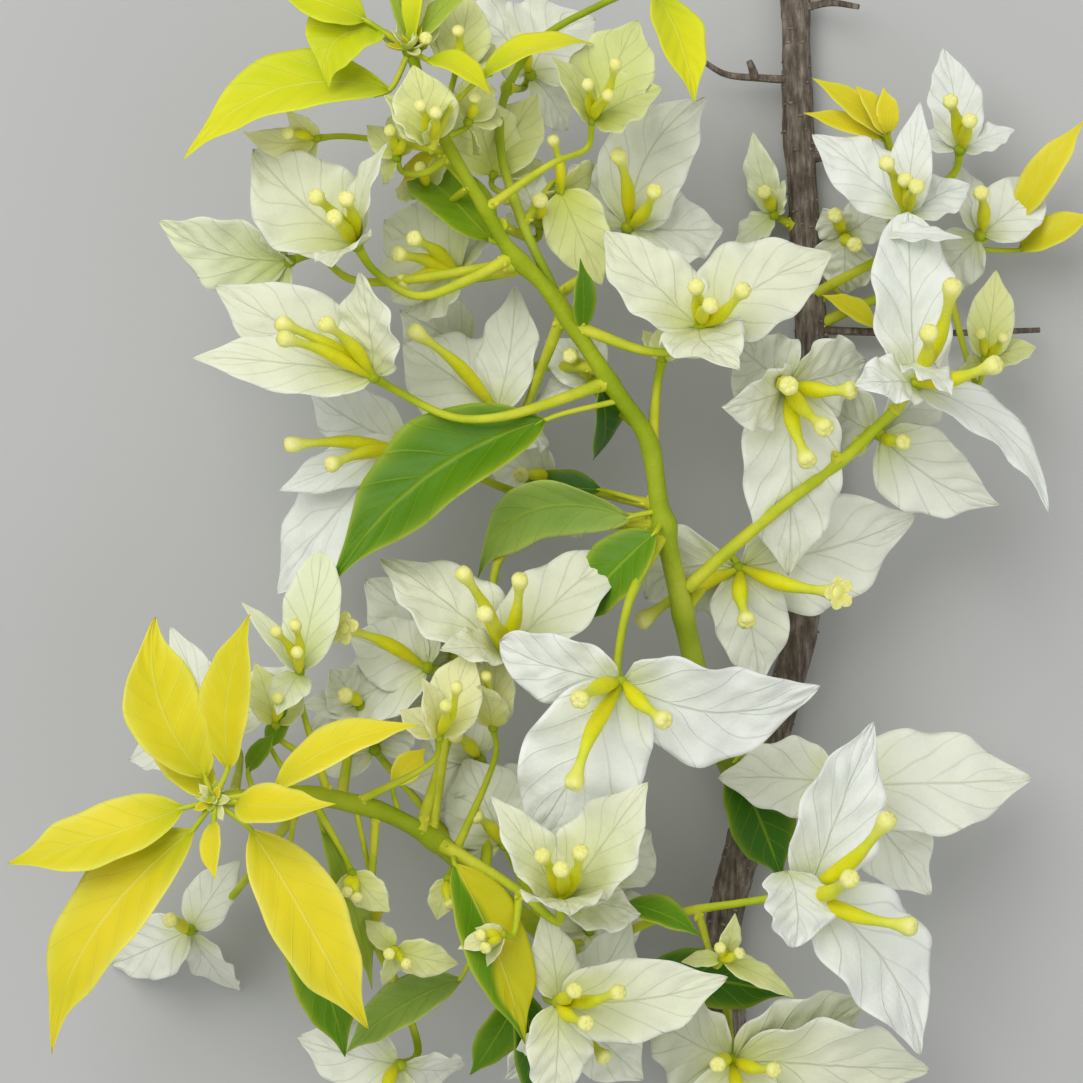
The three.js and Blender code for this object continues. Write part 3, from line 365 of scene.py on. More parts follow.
def bladeSheet(blade, kind, tintName, seed):
    # Two skins of a pointed blade, its midrib arched and bowed, its halves raised and its margin ruffled.
    form = {**bladeForm[kind], **{key: value for key, value in blade.items() if value is not None}}
    detail = bladeDetail
    base, tip, width = form["base"], form["tip"], form["width"]
    steps, across = bladeMesh["wide" if width >= bladeMesh["wideFrom"] else "narrow"]
    chord = tip - base
    length = np.linalg.norm(chord)
    along = chord / length
    up = unit(form["face"] - along * np.dot(form["face"], along))
    side = np.cross(up, along)
    rng = np.random.default_rng(seed)
    wobble = rng.uniform(0, 2 * math.pi, 6)
    shift = rng.uniform(0, 50, 3)

    # Half widths from base to tip
    u = np.linspace(0, 1, steps + 1) ** 0.9
    v = np.linspace(-1, 1, across + 1)
    widest = form["round"] / (form["round"] + form["point"])
    most = widest ** form["round"] * (1 - widest) ** form["point"]
    spread = u ** form["round"] * (1 - u) ** form["point"] / most
    drawn = np.clip((u - detail["tailFrom"]) / detail["tailOver"], 0, 1)
    drawn = drawn * drawn * (3 - 2 * drawn)
    half = width / 2 * spread * (1 - form["tail"] * drawn)
    half = np.maximum(half, detail["neck"] * (1 - u) + detail["tipHalf"])
    halves = np.outer(half, np.ones(len(v)))
    (deep, slow), (shallow, quick) = detail["wobbles"]
    for sign, at in ((-1, 0), (1, 1)):
        margin = 1 + deep * np.sin(slow * u + wobble[at]) + shallow * np.sin(quick * u + wobble[at + 2])
        halves[:, np.sign(v) == sign] *= margin[:, None]

    # The midrib, and how far the blade lifts off it
    bowl = 4 * u * (1 - u)
    middle = base + np.outer(u, chord) + np.outer(bowl * form["arch"] * length, up)
    middle += np.outer(bowl * form.get("bow", 0.0) * length + form["hook"] * length * u**5, side)
    far, wide = u[:, None], v[None, :]
    off = np.abs(wide)
    lift = halves * (form["cup"] * (1 - 0.4 * far)) * (1.15 * off**1.5)
    wave = np.sin(2 * math.pi * form["waves"] * far + np.where(wide < 0, wobble[4], wobble[5]))
    lift = lift + halves * form["ruffle"] * off**2.2 * wave * np.minimum(1, 5 * far)
    veins = np.cos(2 * math.pi * (detail["veinPairs"] * far - detail["veinRise"] * off**0.8))
    lift = lift - form["pucker"] * off**0.5 * (1 - off) * 2 * veins * min(1, width / 18)
    (longWave, wideWave), (shortWave, thinWave) = detail["coarse"], detail["fine"]
    creases = np.array([
        [noise.noise(Vector((a * length / longWave + shift[0], b * width / wideWave, shift[1])))
         + 0.5 * noise.noise(Vector((a * length / shortWave, b * width / thinWave + shift[2], shift[0])))
         for b in v]
        for a in u
    ])
    lift = lift + form["crease"] * creases * np.minimum(1, 6 * far) * np.minimum(1, width / 14)
    run = halves * wide * (1 - 0.25 * form["cup"] * off)
    skin = middle[:, None, :] + run[..., None] * side + lift[..., None] * up
    thin = form["thickness"] / 2 * (1 - 0.75 * off**3) * np.minimum(1, 4 * (1.02 - far))
    normal = np.cross(np.gradient(skin, axis=0), np.gradient(skin, axis=1))
    normal /= np.maximum(np.linalg.norm(normal, axis=2, keepdims=True), 1e-9)
    if np.sum(normal * up) < 0:
        normal = -normal
    top, under = skin + normal * thin[..., None], skin - normal * thin[..., None]

    # Colours
    atBase, onBlade, atEdge, greenTo, toned = (np.array(given) for given in tints[tintName])
    green = np.clip(1 - far / form.get("greenTo", greenTo), 0, 1) ** 1.3 * (1 - 0.35 * off)
    rim = off**6 * np.ones_like(far)
    tint = onBlade * (1 - green[..., None]) + atBase * green[..., None]
    tint = tint * (1 - rim[..., None]) + atEdge * rim[..., None]
    if "halves" in form:
        border = wide + 0.15 + detail["ragged"] * np.sin(7 * far + wobble[0]) * (0.3 + far)
        ragged = np.clip(border * 4 + 0.5, 0, 1)[..., None]
        tint = tint * (1 - ragged) + np.array(tints[form["halves"]][1]) * ragged
    tint = tint * rng.uniform(0.95, 1.03)
    below = np.minimum(tint * toned, 0.9)
    uv = np.stack([far * np.ones_like(wide), (wide + 1) / 2 * np.ones_like(far)], 2)

    # Faces of both skins and of the wall round their edge
    rows, columns = skin.shape[:2]
    index = np.arange(rows * columns).reshape(rows, columns)
    a, b, c, d = index[:-1, :-1], index[1:, :-1], index[1:, 1:], index[:-1, 1:]
    ring = np.concatenate([index[:, 0], index[-1, 1:], index[-2::-1, -1], index[0, -2:0:-1]])
    nextRing = np.roll(ring, -1)
    faces = np.stack([a, d, c, b], -1).reshape(-1, 4)
    wall = np.stack([ring, nextRing, nextRing + rows * columns, ring + rows * columns], 1)
    return {
        "verts": np.concatenate([top.reshape(-1, 3), under.reshape(-1, 3)]),
        "faces": np.concatenate([faces, faces[:, ::-1] + rows * columns, wall]),
        "uv": np.concatenate([uv.reshape(-1, 2)] * 2),
        "tint": np.concatenate([tint.reshape(-1, 3), below.reshape(-1, 3)]),
    }


def joinSheets(name, sheets, material):
    verts, faces, start = [], [], 0
    for sheet in sheets:
        verts.append(sheet["verts"])
        faces.append(sheet["faces"] + start)
        start += len(sheet["verts"])
    uv, tint = (np.concatenate([sheet[key] for sheet in sheets]) for key in ("uv", "tint"))
    piece = newMesh(name, np.concatenate(verts), np.concatenate(faces).tolist(), material, uv, tint)
    print(name, len(sheets), "blades,", 2 * sum(len(rows) for rows in faces), "triangles")
    return piece


# Stalks, shoots and flowers are paths with a radius, skinned by one node tree. Another puts knobs on points.


def startTree(name, inputs):
    tree = bpy.data.node_groups.new(name, "GeometryNodeTree")
    for title, kind in inputs.items():
        tree.interface.new_socket(title, in_out="INPUT", socket_type="NodeSocket" + kind)
    tree.interface.new_socket("Geometry", in_out="OUTPUT", socket_type="NodeSocketGeometry")
    return tree, tree.nodes.new("NodeGroupInput").outputs


def finishTree(tree, mesh, skin):
    real = addNode(tree, "GeometryNodeRealizeInstances", {"Geometry": mesh})
    smooth = addNode(tree, "GeometryNodeSetShadeSmooth", {"Geometry": real.outputs[0]})
    paint = addNode(tree, "GeometryNodeSetMaterial", {"Geometry": smooth.outputs[0], "Material": skin})
    addNode(tree, "NodeGroupOutput", {"Geometry": paint.outputs[0]})
    return tree


def skinTree():
    # A skin round each path, of its own radius, with every other corner of its section drawn in by Ridge.
    tree, given = startTree("skin along paths", {
        "Paths": "Geometry", "Sides": "Int", "Ridge": "Float", "Skin": "Material",
    })
    factor = addNode(tree, "GeometryNodeSplineParameter").outputs["Factor"]
    kept = {"Geometry": given["Paths"], "Name": "along", "Value": factor}
    keep = addNode(tree, "GeometryNodeStoreNamedAttribute", kept, data_type="FLOAT", domain="POINT")
    ring = addNode(tree, "GeometryNodeCurvePrimitiveCircle", {"Radius": 1.0, "Resolution": given["Sides"]})
    odd = calc(tree, "MODULO", addNode(tree, "GeometryNodeInputIndex").outputs[0], 2.0)
    share = calc(tree, "SUBTRACT", 1.0, calc(tree, "MULTIPLY", odd, given["Ridge"]))
    where = addNode(tree, "GeometryNodeInputPosition").outputs[0]
    shrink = addNode(tree, "ShaderNodeVectorMath", {0: where, "Scale": share}, operation="SCALE")
    section = addNode(tree, "GeometryNodeSetPosition", {
        "Geometry": ring.outputs["Curve"], "Position": shrink.outputs[0],
    })
    skin = addNode(tree, "GeometryNodeCurveToMesh", {
        "Curve": keep.outputs["Geometry"], "Profile Curve": section.outputs["Geometry"], "Fill Caps": True,
        "Scale": addNode(tree, "GeometryNodeInputRadius").outputs[0],
    })
    return finishTree(tree, skin.outputs["Mesh"], given["Skin"])


def knobTree():
    # A small rounded knob on each point of a mesh, turned along the point's axis and of the point's size.
    tree, given = startTree("knobs on points", {
        "Points": "Geometry", "Detail": "Int", "Length": "Float", "Skin": "Material",
    })
    ball = addNode(tree, "GeometryNodeMeshIcoSphere", {"Radius": 1.0, "Subdivisions": given["Detail"]})
    stretch = addNode(tree, "ShaderNodeCombineXYZ", {0: 1.0, 1: 1.0, 2: given["Length"]})
    knob = addNode(tree, "GeometryNodeTransform", {
        "Geometry": ball.outputs["Mesh"], "Scale": stretch.outputs[0],
    })
    axis = addNode(tree, "GeometryNodeInputNamedAttribute", {"Name": "axis"}, data_type="FLOAT_VECTOR")
    size = addNode(tree, "GeometryNodeInputNamedAttribute", {"Name": "size"}, data_type="FLOAT")
    turn = addNode(tree, "FunctionNodeAlignRotationToVector", {"Vector": axis.outputs["Attribute"]}, axis="Z")
    knobs = addNode(tree, "GeometryNodeInstanceOnPoints", {
        "Points": given["Points"], "Instance": knob.outputs["Geometry"], "Rotation": turn.outputs[0],
        "Scale": size.outputs["Attribute"],
    })
    return finishTree(tree, knobs.outputs["Instances"], given["Skin"])


skinAlong, knobsAt = skinTree(), knobTree()


def applied(name, data, tree, inputs):
    # Runs a node tree on some data with its inputs set, and keeps the result as a plain mesh.
    holder = addObject(name + "_given", data)
    modifier = holder.modifiers.new("tree", "NODES")
    modifier.node_group = tree
    for item in tree.interface.items_tree:
        if item.item_type == "SOCKET" and item.name in inputs:
            modifier[item.identifier] = inputs[item.name]
    bpy.context.view_layer.update()
    mesh = bpy.data.meshes.new_from_object(holder.evaluated_get(bpy.context.evaluated_depsgraph_get()))
    mesh.name = name
    bpy.data.objects.remove(holder)
    print(name, len(mesh.polygons), "faces")
    return addObject(name, mesh)


def knobs(name, spots, detail, length, material):
    mesh = bpy.data.meshes.new(name + "_points")
    places, axes, sizes = (np.array(given) for given in zip(*spots))
    mesh.from_pydata((places / 1000).tolist(), [], [])
    mesh.attributes.new("axis", "FLOAT_VECTOR", "POINT").data.foreach_set("vector", axes.ravel())
    mesh.attributes.new("size", "FLOAT", "POINT").data.foreach_set("value", sizes / 1000)
    return applied(name, mesh, knobsAt, {"Detail": detail, "Length": length, "Skin": material})


def skinPaths(name, paths, sides, ridge, material):
    curve = bpy.data.curves.new(name + "_paths", "CURVE")
    curve.dimensions = "3D"
    for points, radii in paths:
        spline = curve.splines.new("POLY")
        spline.points.add(len(points) - 1)
        flat = np.concatenate([np.asarray(points) / 1000, np.ones((len(points), 1))], 1)
        spline.points.foreach_set("co", flat.ravel())
        spline.points.foreach_set("radius", np.asarray(radii) / 1000)
    return applied(name, curve, skinAlong, {"Sides": sides, "Ridge": ridge, "Skin": material})


# The limbs, blooms and leaves, as in the part


# A limb's route from its foot to its tip, and its radius at both.
limbs = {
    "woody_stem": ([[147.6, 230, 4.4], [145.6, 208, 5], [144.4, 188, 5.6], [149, 168, 6], [154.4, 148, 6.4],
        [160, 126, 6.4], [163.6, 104, 6], [163, 80, 5.4], [161.6, 56, 4.8], [160, 30, 4.2], [159.2, 8, 3.8],
        [159.4, -10, 3.6]], [4.4, 3.3]),
    "main_shoot": ([[149, 158, 6], [146, 153, 15], [141.2, 141, 28], [138.2, 130, 38], [135.6, 118, 45],
        [132, 102, 50], [129.6, 88, 53], [123, 78, 56], [116.4, 68, 58], [109.6, 58, 60], [101.6, 49.6, 62],
        [96, 40, 64], [90, 30, 66], [85.6, 21, 68]], [2.7, 1.1]),
    "side_shoot": ([[145.4, 212, 5], [138, 209, 12], [129, 203, 21], [120, 196, 29], [111, 188.6, 37],
        [99, 178.6, 45], [88, 168.8, 51], [77.6, 162.8, 56], [69.4, 160.4, 59], [60, 158.8, 62],
        [50, 159.4, 66], [44.5, 160, 69]], [2.4, 1.5]),
    "thin_shoot": ([[113.2, 63.6, 59], [110, 56.2, 59], [106.4, 49, 59], [103.6, 42, 58], [100.2, 30.2, 55],
        [101, 19, 50], [108, 8, 46], [120, 1, 46], [130.4, -3.4, 49]], [1.0, 0.7]),
    "right_twig": ([[137.4, 117.6, 45], [147, 109, 47], [158, 100, 49], [168, 92.4, 50], [174.6, 86.2, 50],
        [180, 81, 50]], [1.4, 1.0]),
    "low_twig": ([[117.6, 194, 31], [124.4, 187, 40], [136, 182.6, 47], [148, 180.6, 50], [157, 179.2, 52]],
        [1.1, 0.8]),
}
# Dry side twigs, a knob and a bud on the woody stem, from the stem outwards.
snags = [
    ([[159.4, 16, 4.6], [152, 15.6, 7], [145, 14.8, 8.6], [140, 11.8, 9.6]], [1, 0.6]),
    ([[159.4, 2, 4.2], [166, 0.6, 7], [171.8, 1.4, 9]], [1, 0.6]),
    ([[162, 31.4, 4.4], [164.6, 31.2, 5.4], [165.6, 31, 5.8]], [1.5, 0.9]),
    ([[163, 66, 5], [175, 66.4, 6], [190, 66.6, 6.4], [208, 66, 7]], [1, 0.6]),
    ([[150.8, 15.2, 8.4], [150.4, 13.6, 9.6], [149.8, 12.2, 10.2]], [1.1, 0.7]),
]


def bloom(start, heart, faces, tips, heads, **more):
    # Where its stalk starts, where its bracts meet, where they face as [turn, rise] in degrees, each bract's
    # tip with its width and bow, and each flower's head. A start is [limb, across, down], a place or a share
    # of the stalk that it sits on.
    return {"start": start, "heart": heart, "faces": faces, "tips": tips, "heads": heads, **more}


def leaf(start, base, tip, width, faces, tints, **more):
    # A leaf without a base has no stalk of its own and sits on its start.
    return {"start": start, "base": base, "tip": tip, "width": width, "faces": faces, "tints": tints, **more}


blooms = {
    "top_bud": bloom(["main_shoot", 88, 27], [86, 28.6, 72], [95, 35],
        [[82.6, 13, 74, 13], [90.8, 20, 80, 8], [76.8, 19, 74, 11]], [[84, 21, 82], [87.2, 22.4, 83]],
        young=True,
        sides=[
            bloom(0.9, [91.4, 13.6, 66], [70, 50], [[94, -1, 60, 11], [85.6, 0.6, 60, 9], [99, 9, 58, 8]],
                [[91.6, 6, 73]], young=True, via=[[89.6, 22, 74]]),
        ]),
    "high_left": bloom(["main_shoot", 101.6, 52.6], [71.4, 49.2, 62], [125, 40],
        [[50.6, 29.8, 56, 21, 0.06], [77.6, 28.6, 70, 9, 0.06], [66.2, 53.4, 80, 12]],
        [[63, 39.2, 76], [69.2, 39.6, 76], [66.8, 43.4, 79]], tints="ivory",
        via=[[93.2, 56.2, 61], [83.4, 59.2, 60]], greenTo=0.55),
    "far_left": bloom(["main_shoot", 104, 54], [58, 52.2, 48], [200, 45],
        [[31.8, 44.2, 44, 16, 0.06], [52.4, 45, 60, 6], [50, 60, 34, 12]], [], tints="pearl",
        via=[[71.4, 56.2, 52]]),
    "bud_left": bloom(["main_shoot", 91, 31.5], [63.4, 27.6, 58], [190, 40],
        [[48.6, 26.4, 58, 6.4, 0.1], [57.2, 22, 64, 4.4, {"faces": [250, 70]}], [61, 32, 50, 6]],
        [[57.5, 26.6, 65]], young=True, tints="butter"),
    "high_rear": bloom(["main_shoot", 106, 54], [92, 54.4, 48], [165, 55],
        [[77, 44, 40, 24], [81, 62.5, 40, 14], [97, 43, 34, 16]],
        [[82.6, 47.6, 61], [79.4, 50.8, 58], [80, 56.5, 55]], tints="ivory"),
    "left_twin": bloom(["main_shoot", 119.6, 77.8], [74.8, 75.4, 64], [150, 50],
        [[43, 57.2, 56, 18], [38.4, 71.6, 64, 13], [72, 54.4, 72, 16, -0.1]],
        [[56, 64.6, 76], [56.4, 67.6, 79], [65, 64.6, 77]], tints="ivory",
        via=[[100, 83.4, 63], [90.4, 83.4, 62]],
        leaves=[
            leaf(0.04, None, [118.6, 92, 36], 10.4, [20, 60], "dark"),
        ]),
    "left_low": bloom(["main_shoot", 131.6, 105], [81, 89.5, 46], [185, 40],
        [[55.4, 118.8, 26, 22], [55.8, 98.2, 40, 10], [62, 78, 38, 18]], [[57.6, 89, 56], [66, 93, 58]],
        tints="snow", via=[[112, 101, 49], [97, 96, 47]]),
    "mid_rear": bloom(["main_shoot", 113, 63], [99.2, 82.8, 43], [118, 45],
        [[103, 57, 40, 14, -0.08], [80.6, 68.8, 38, 22], [110, 89, 35, 15]], [[82.6, 66, 57]]),
    "top_cream": bloom(["main_shoot", 97.4, 42.4], [118.4, 24.2, 66], [80, 50],
        [[127.6, 4, 60, 17], [110.4, 11.4, 72, 8], [132.4, 17.6, 68, 15]],
        [[123.2, 12.6, 80], [117.6, 16.8, 80], [121.8, 19, 82]], young=True, tints="moss",
        via=[[110.6, 32.6, 66]]),
    "top_rear": bloom(["thin_shoot", 101.5, 17], [106, 15, 40], [60, 50],
        [[90, 1, 40, 20, -0.1], [119, 3.6, 36, 22, 0.14], [113.5, 26, 34, 17]], [[104, 8, 54]]),
    "top_mid": bloom(["thin_shoot", 103, 40], [98.6, 35, 52], [80, 45],
        [[92.4, 17.6, 55, 16], [107.5, 19, 46, 13], [108, 32, 38, 12]], [], young=True),
    "upper_right": bloom(["main_shoot", 111, 60], [125.4, 45.6, 46], [70, 60],
        [[141.2, 19.4, 44, 19, 0.12], [144.6, 46, 38, 19, -0.06], [114, 33, 38, 18]],
        [[123.6, 30.8, 62], [131, 38, 60]]),
    "pale_mid": bloom(["thin_shoot", 105, 45], [112, 38, 52], [290, 50],
        [[120.4, 57, 50, 13], [106.5, 44, 42, 8], [119, 33, 44, 9]], [[110.6, 27.8, 60]], young=True),
    "right_heart": bloom(["main_shoot", 114.6, 65], [140, 65.4, 62], [80, 60],
        [[120.8, 46.2, 56, 17, 0.06], [166.4, 50.6, 56, 21, 0.02], [147.8, 73.8, 80, 17, -0.14]],
        [[139.2, 57.2, 78], [142.2, 61, 82], [148.8, 57.8, 77]], tints="ivory", via=[[130.4, 70.4, 60]],
        leaves=[
            leaf(0.06, None, [116, 51.6, 68], 5.4, [0, 70], "green"),
        ]),
    "young_mid": bloom(["main_shoot", 130.2, 90], [132.4, 72, 52], [80, 35],
        [[135, 64, 54, 7], [128.6, 66, 49, 5], [137, 70, 47, 5]], [], young=True, stalk=0.95),
    "right_fall": bloom(["right_twig", 168, 92], [157.6, 77, 54.6], [288, 61],
        [[157.6, 115, 38, 21], [144.6, 81.6, 70, 14], [173, 72, 44, 18], [147, 68.6, 56, 17]],
        [[161.6, 92.4, 68], [157.8, 77.2, 74], [170.4, 78, 60], [165.2, 85.8, 70]], girth=1.0),
    "right_high": bloom(["right_twig", 179, 81.6], [183, 77, 54], [60, 55],
        [[181.6, 42.4, 48, 18, 0.04, {"point": 0.5, "tail": 0.1}],
        [211.2, 99.6, 48, 11, 0.08, {"hook": -0.12, "tail": 0.1}], [171, 77, 68, 12],
        [192.6, 47.6, 52, 6.4, -0.1, {"foot": [177, 46.4, 50], "faces": [60, 40], "round": 0.3}],
        [190.4, 79.4, 70, 8.5, 0.1, {"foot": [180.6, 73, 62], "faces": [60, 40], "ruffle": 0.25}]],
        [[190.6, 56.8, 72], [185.8, 66.4, 74], [199.4, 72.8, 70]], tints="snow", girth=1.0),
    "right_low": bloom(["right_twig", 172, 88.6], [176, 87, 42], [300, 50],
        [[200, 101, 34, 18, -0.06, {"point": 1.0}], [190, 68, 30, 16], [164, 79.6, 34, 17]],
        [[180.8, 88.4, 52]]),
    "right_rear": bloom(["main_shoot", 137, 123], [147.8, 113.6, 36], [300, 60],
        [[183.2, 103, 28, 26], [129, 119.6, 28, 26, -0.26], [152, 137.2, 30, 16]],
        [[167.8, 118.6, 48], [128, 124.4, 40], [149.4, 124.4, 48]], girth=1.0, open=[0]),
    "far_right": bloom(["woody_stem", 162, 56], [181.4, 42.8, 34.6], [108, 56],
        [[162.4, 27, 30, 15], [184, 20.4, 38, 9], [194, 37, 30, 12]],
        [[177.2, 32.4, 48], [183.4, 37.2, 50], [181, 35.8, 46]], tints="snow"),
    "back_upper": bloom(["woody_stem", 161.4, 48], [192, 30, 22], [80, 50],
        [[188.6, 9.6, 18, 12], [203, 26, 20, 8], [180, 27, 14, 8]], [[190, 20, 34], [194, 24, 36]],
        tints="snow",
        leaves=[
            leaf(0.52, [177, 27, 30], [162.4, 15.6, 33], 6.5, [90, 60], "yellow"),
            leaf(0.54, [177, 26.6, 31], [171, 17, 36], 6, [60, 60], "yellow"),
            leaf(0.56, [177.6, 26.6, 31], [176.6, 17.4, 34], 5.5, [90, 50], "yellow"),
            leaf(0.5, [176.6, 27.6, 29], [160.6, 22.6, 30], 5, [90, 70], "yellow"),
        ]),
    "back_right": bloom(["woody_stem", 162, 62], [196, 47, 18], [60, 55],
        [[208.4, 35, 14, 14, -0.05], [190.6, 32.4, 10, 9], [186, 58.4, 8, 13]], [[196.2, 38.4, 30]],
        leaves=[
            leaf(0.9, [203, 44, 16], [217, 24, 20], 8, [100, 60], "yellow"),
            leaf(0.88, [204, 50, 14], [219, 43, 18], 8, [80, 60], "yellow"),
        ],
        sides=[
            bloom(0.7, [197, 72, 22], [80, 45], [[199.2, 54, 20, 10], [207.4, 69.4, 20, 9], [190, 79, 14, 8]],
                [[196, 66.6, 32], [200.6, 67.4, 32]], young=True),
        ]),
    "back_left": bloom(["woody_stem", 161.6, 60], [169, 47, 14], [200, 60],
        [[164.6, 41.6, 17, 9], [169.6, 58.6, 6, 14], [178, 41, 15, 10]], [[167, 43, 26], [171, 49, 26]],
        leaves=[
            leaf(0.3, [175, 65, 8], [164.4, 59, 12], 6, [90, 60], "yellow"),
        ]),
    "centre": bloom(["main_shoot", 132, 105], [100.8, 131, 58], [80, 50],
        [[76, 112, 52, 19], [125.2, 109, 50, 17], [88, 130, 72, 10]],
        [[92.4, 114.4, 72], [96.8, 122.6, 75], [104, 115.6, 71]], tints="ivory",
        via=[[115, 105.4, 48], [100, 111.4, 47]]),
    "front": bloom(["main_shoot", 132.4, 106], [124.2, 136.4, 68], [280, 65],
        [[99.6, 129.4, 68, 14.5, 0, {"round": 0.44, "point": 0.5, "tail": 0.05, "hook": -0.05}],
        [164, 137.2, 64, 22, -0.12], [106, 168, 56, 25]],
        [[115.8, 140, 82], [133, 144.2, 80], [114.6, 157.2, 78]], tints="snow", via=[[125.6, 121, 61]],
        girth=1.0),
    "low_front": bloom(["side_shoot", 88, 168], [112, 180.4, 66], [85, 50],
        [[98.2, 159.2, 70, 11], [129.6, 156.4, 68, 17, -0.03], [114, 183, 86, 16], [128, 183, 60, 14]],
        [[108.4, 171, 79], [112.2, 173.8, 85], [116.2, 170.2, 79]], tints="ivory",
        via=[[96, 173.4, 56], [104, 178.4, 61]], stalk=1.0, greenTo=0.95),
    "low_star": bloom(["side_shoot", 117, 190], [111.6, 200.4, 58], [0, 70],
        [[108.6, 182, 56, 10], [145.6, 195.4, 58, 17, -0.04], [110.2, 221, 54, 14]],
        [[115, 198, 70], [124, 198.4, 71], [117.4, 204.8, 72]], tints="ivory", greenTo=0.6),
    "bottom_rear": bloom(["side_shoot", 122, 196], [114, 203, 44], [350, 60],
        [[126, 183.6, 44, 16], [128.6, 216, 40, 15], [101, 216, 36, 12]], [[121, 211.6, 52]],
        leaves=[
            leaf(0.2, [104, 198, 42], [107, 224, 36], 10, [10, 60], "dark"),
        ]),
    "bottom_right": bloom(["woody_stem", 145.6, 200], [146.4, 212, 40], [270, 60],
        [[129, 202, 34, 22], [174, 199, 36, 22], [148, 231, 34, 20], [186, 214, 30, 26, 0.06]],
        [[143.5, 213, 54], [155, 214, 52], [150, 222, 52]], tints="ivory"),
    "right_trumpet": bloom(["low_twig", 156.6, 179.2], [161.6, 178.6, 56], [20, 55],
        [[174.6, 144.4, 52, 20, 0.05], [184, 211, 50, 24, 0.09],
        [158.6, 189.6, 66, 17, 0.06, {"foot": [157.4, 174.2, 63], "round": 0.34, "point": 0.5}]],
        [[177.8, 163.6, 71], [170.2, 175.6, 75], [182.6, 185.4, 71]], tints="snow", girth=1.0),
    "right_wing": bloom(["woody_stem", 152, 156], [167.6, 156.6, 32], [70, 65],
        [[206.4, 155.6, 26, 23, -0.04], [143.6, 155.6, 30, 17], [186, 179, 24, 20]], [[161.5, 160, 46]]),
    "small_hang": bloom(["low_twig", 139.6, 181.6], [144.4, 191.8, 50], [60, 50],
        [[147, 182.6, 55, 5], [136.2, 192.4, 48, 4], [159, 199.6, 46, 6]],
        [[144, 189.5, 55], [148, 190.6, 55]], young=True),
    "rosette_top": bloom(["side_shoot", 66, 159.4], [60, 134.4, 62], [85, 45],
        [[65.6, 110.4, 58, 11.4, {"point": 0.5, "tail": 0.1, "hook": 0.06}], [48.2, 120.4, 60, 5],
        [55.4, 143, 70, 8]], [[55, 126.2, 72], [59, 124.8, 73], [59.4, 130.4, 77]], young=True, tints="pearl",
        sides=[
            bloom(0.25, [55.2, 145, 60], [90, 45], [[51, 132.6, 60, 8], [60.4, 137, 58, 8]],
                [[55.4, 139.4, 70]], young=True),
        ]),
    "open_flower": bloom(["side_shoot", 86, 168], [85.6, 133.6, 46], [150, 50],
        [[70, 127, 40, 15], [81, 116, 36, 14], [62, 146, 38, 17]], [[68.6, 125.6, 57]], open=[0]),
    "cream_left": bloom(["side_shoot", 71, 160.6], [87.8, 147.6, 66], [75, 45],
        [[94.4, 129.6, 66, 11.5], [84.4, 135.6, 72, 7], [80, 142, 62, 8]],
        [[91.4, 137.2, 77], [89.2, 141, 78]], young=True, tints="butter"),
    "cream_right": bloom(["side_shoot", 91, 171.4], [98.6, 145.6, 58], [95, 40],
        [[99.6, 128.6, 58, 9], [94, 131, 56, 8], [96, 137, 71, 8]], [[97, 135, 66]], young=True,
        tints="butter"),
    "bud_low": bloom(["side_shoot", 75, 162.4], [79, 190, 58], [330, 45],
        [[91.8, 192.8, 56, 8], [73, 184, 56, 5], [76.4, 197, 54, 5]], [[77.8, 190.8, 64], [81.4, 192.8, 64]],
        young=True,
        leaves=[
            leaf([63, 159.8, 61], [64.6, 166, 57], [74.4, 198, 50], 6.5, [10, 60], "bud"),
        ],
        sides=[
            bloom([62.4, 159.8, 61.2], [70.4, 174.6, 61], [300, 45], [[78, 182.4, 60, 7.5], [66, 180, 58, 4]],
                [[71.4, 179.6, 66], [69.4, 178.4, 66]], young=True),
            bloom(0.8, [80, 213, 40], [200, 60],
                [[59.6, 207.4, 34, 16], [78, 230, 30, 16], [93, 213, 27, 12]], [[77, 221, 50]]),
        ]),
    "white_low": bloom(["side_shoot", 114, 186], [101, 169, 40], [110, 60],
        [[86, 163, 34, 18], [93, 151.6, 38, 19], [112, 152, 30, 20]], [[95, 163, 50]]),
    "rosette_rear": bloom(["side_shoot", 48, 159.4], [45, 147, 46], [120, 55],
        [[34, 125.2, 42, 10], [60, 133, 34, 14], [26, 152, 30, 14]], [[42, 140, 58]]),
    "table_left": bloom(["side_shoot", 62, 159], [38, 186, 16], [200, 60],
        [[22.4, 193, 0.5, 14], [48, 198, 0.5, 12], [48, 172, 14, 11]], [[34, 184, 28]]),
}
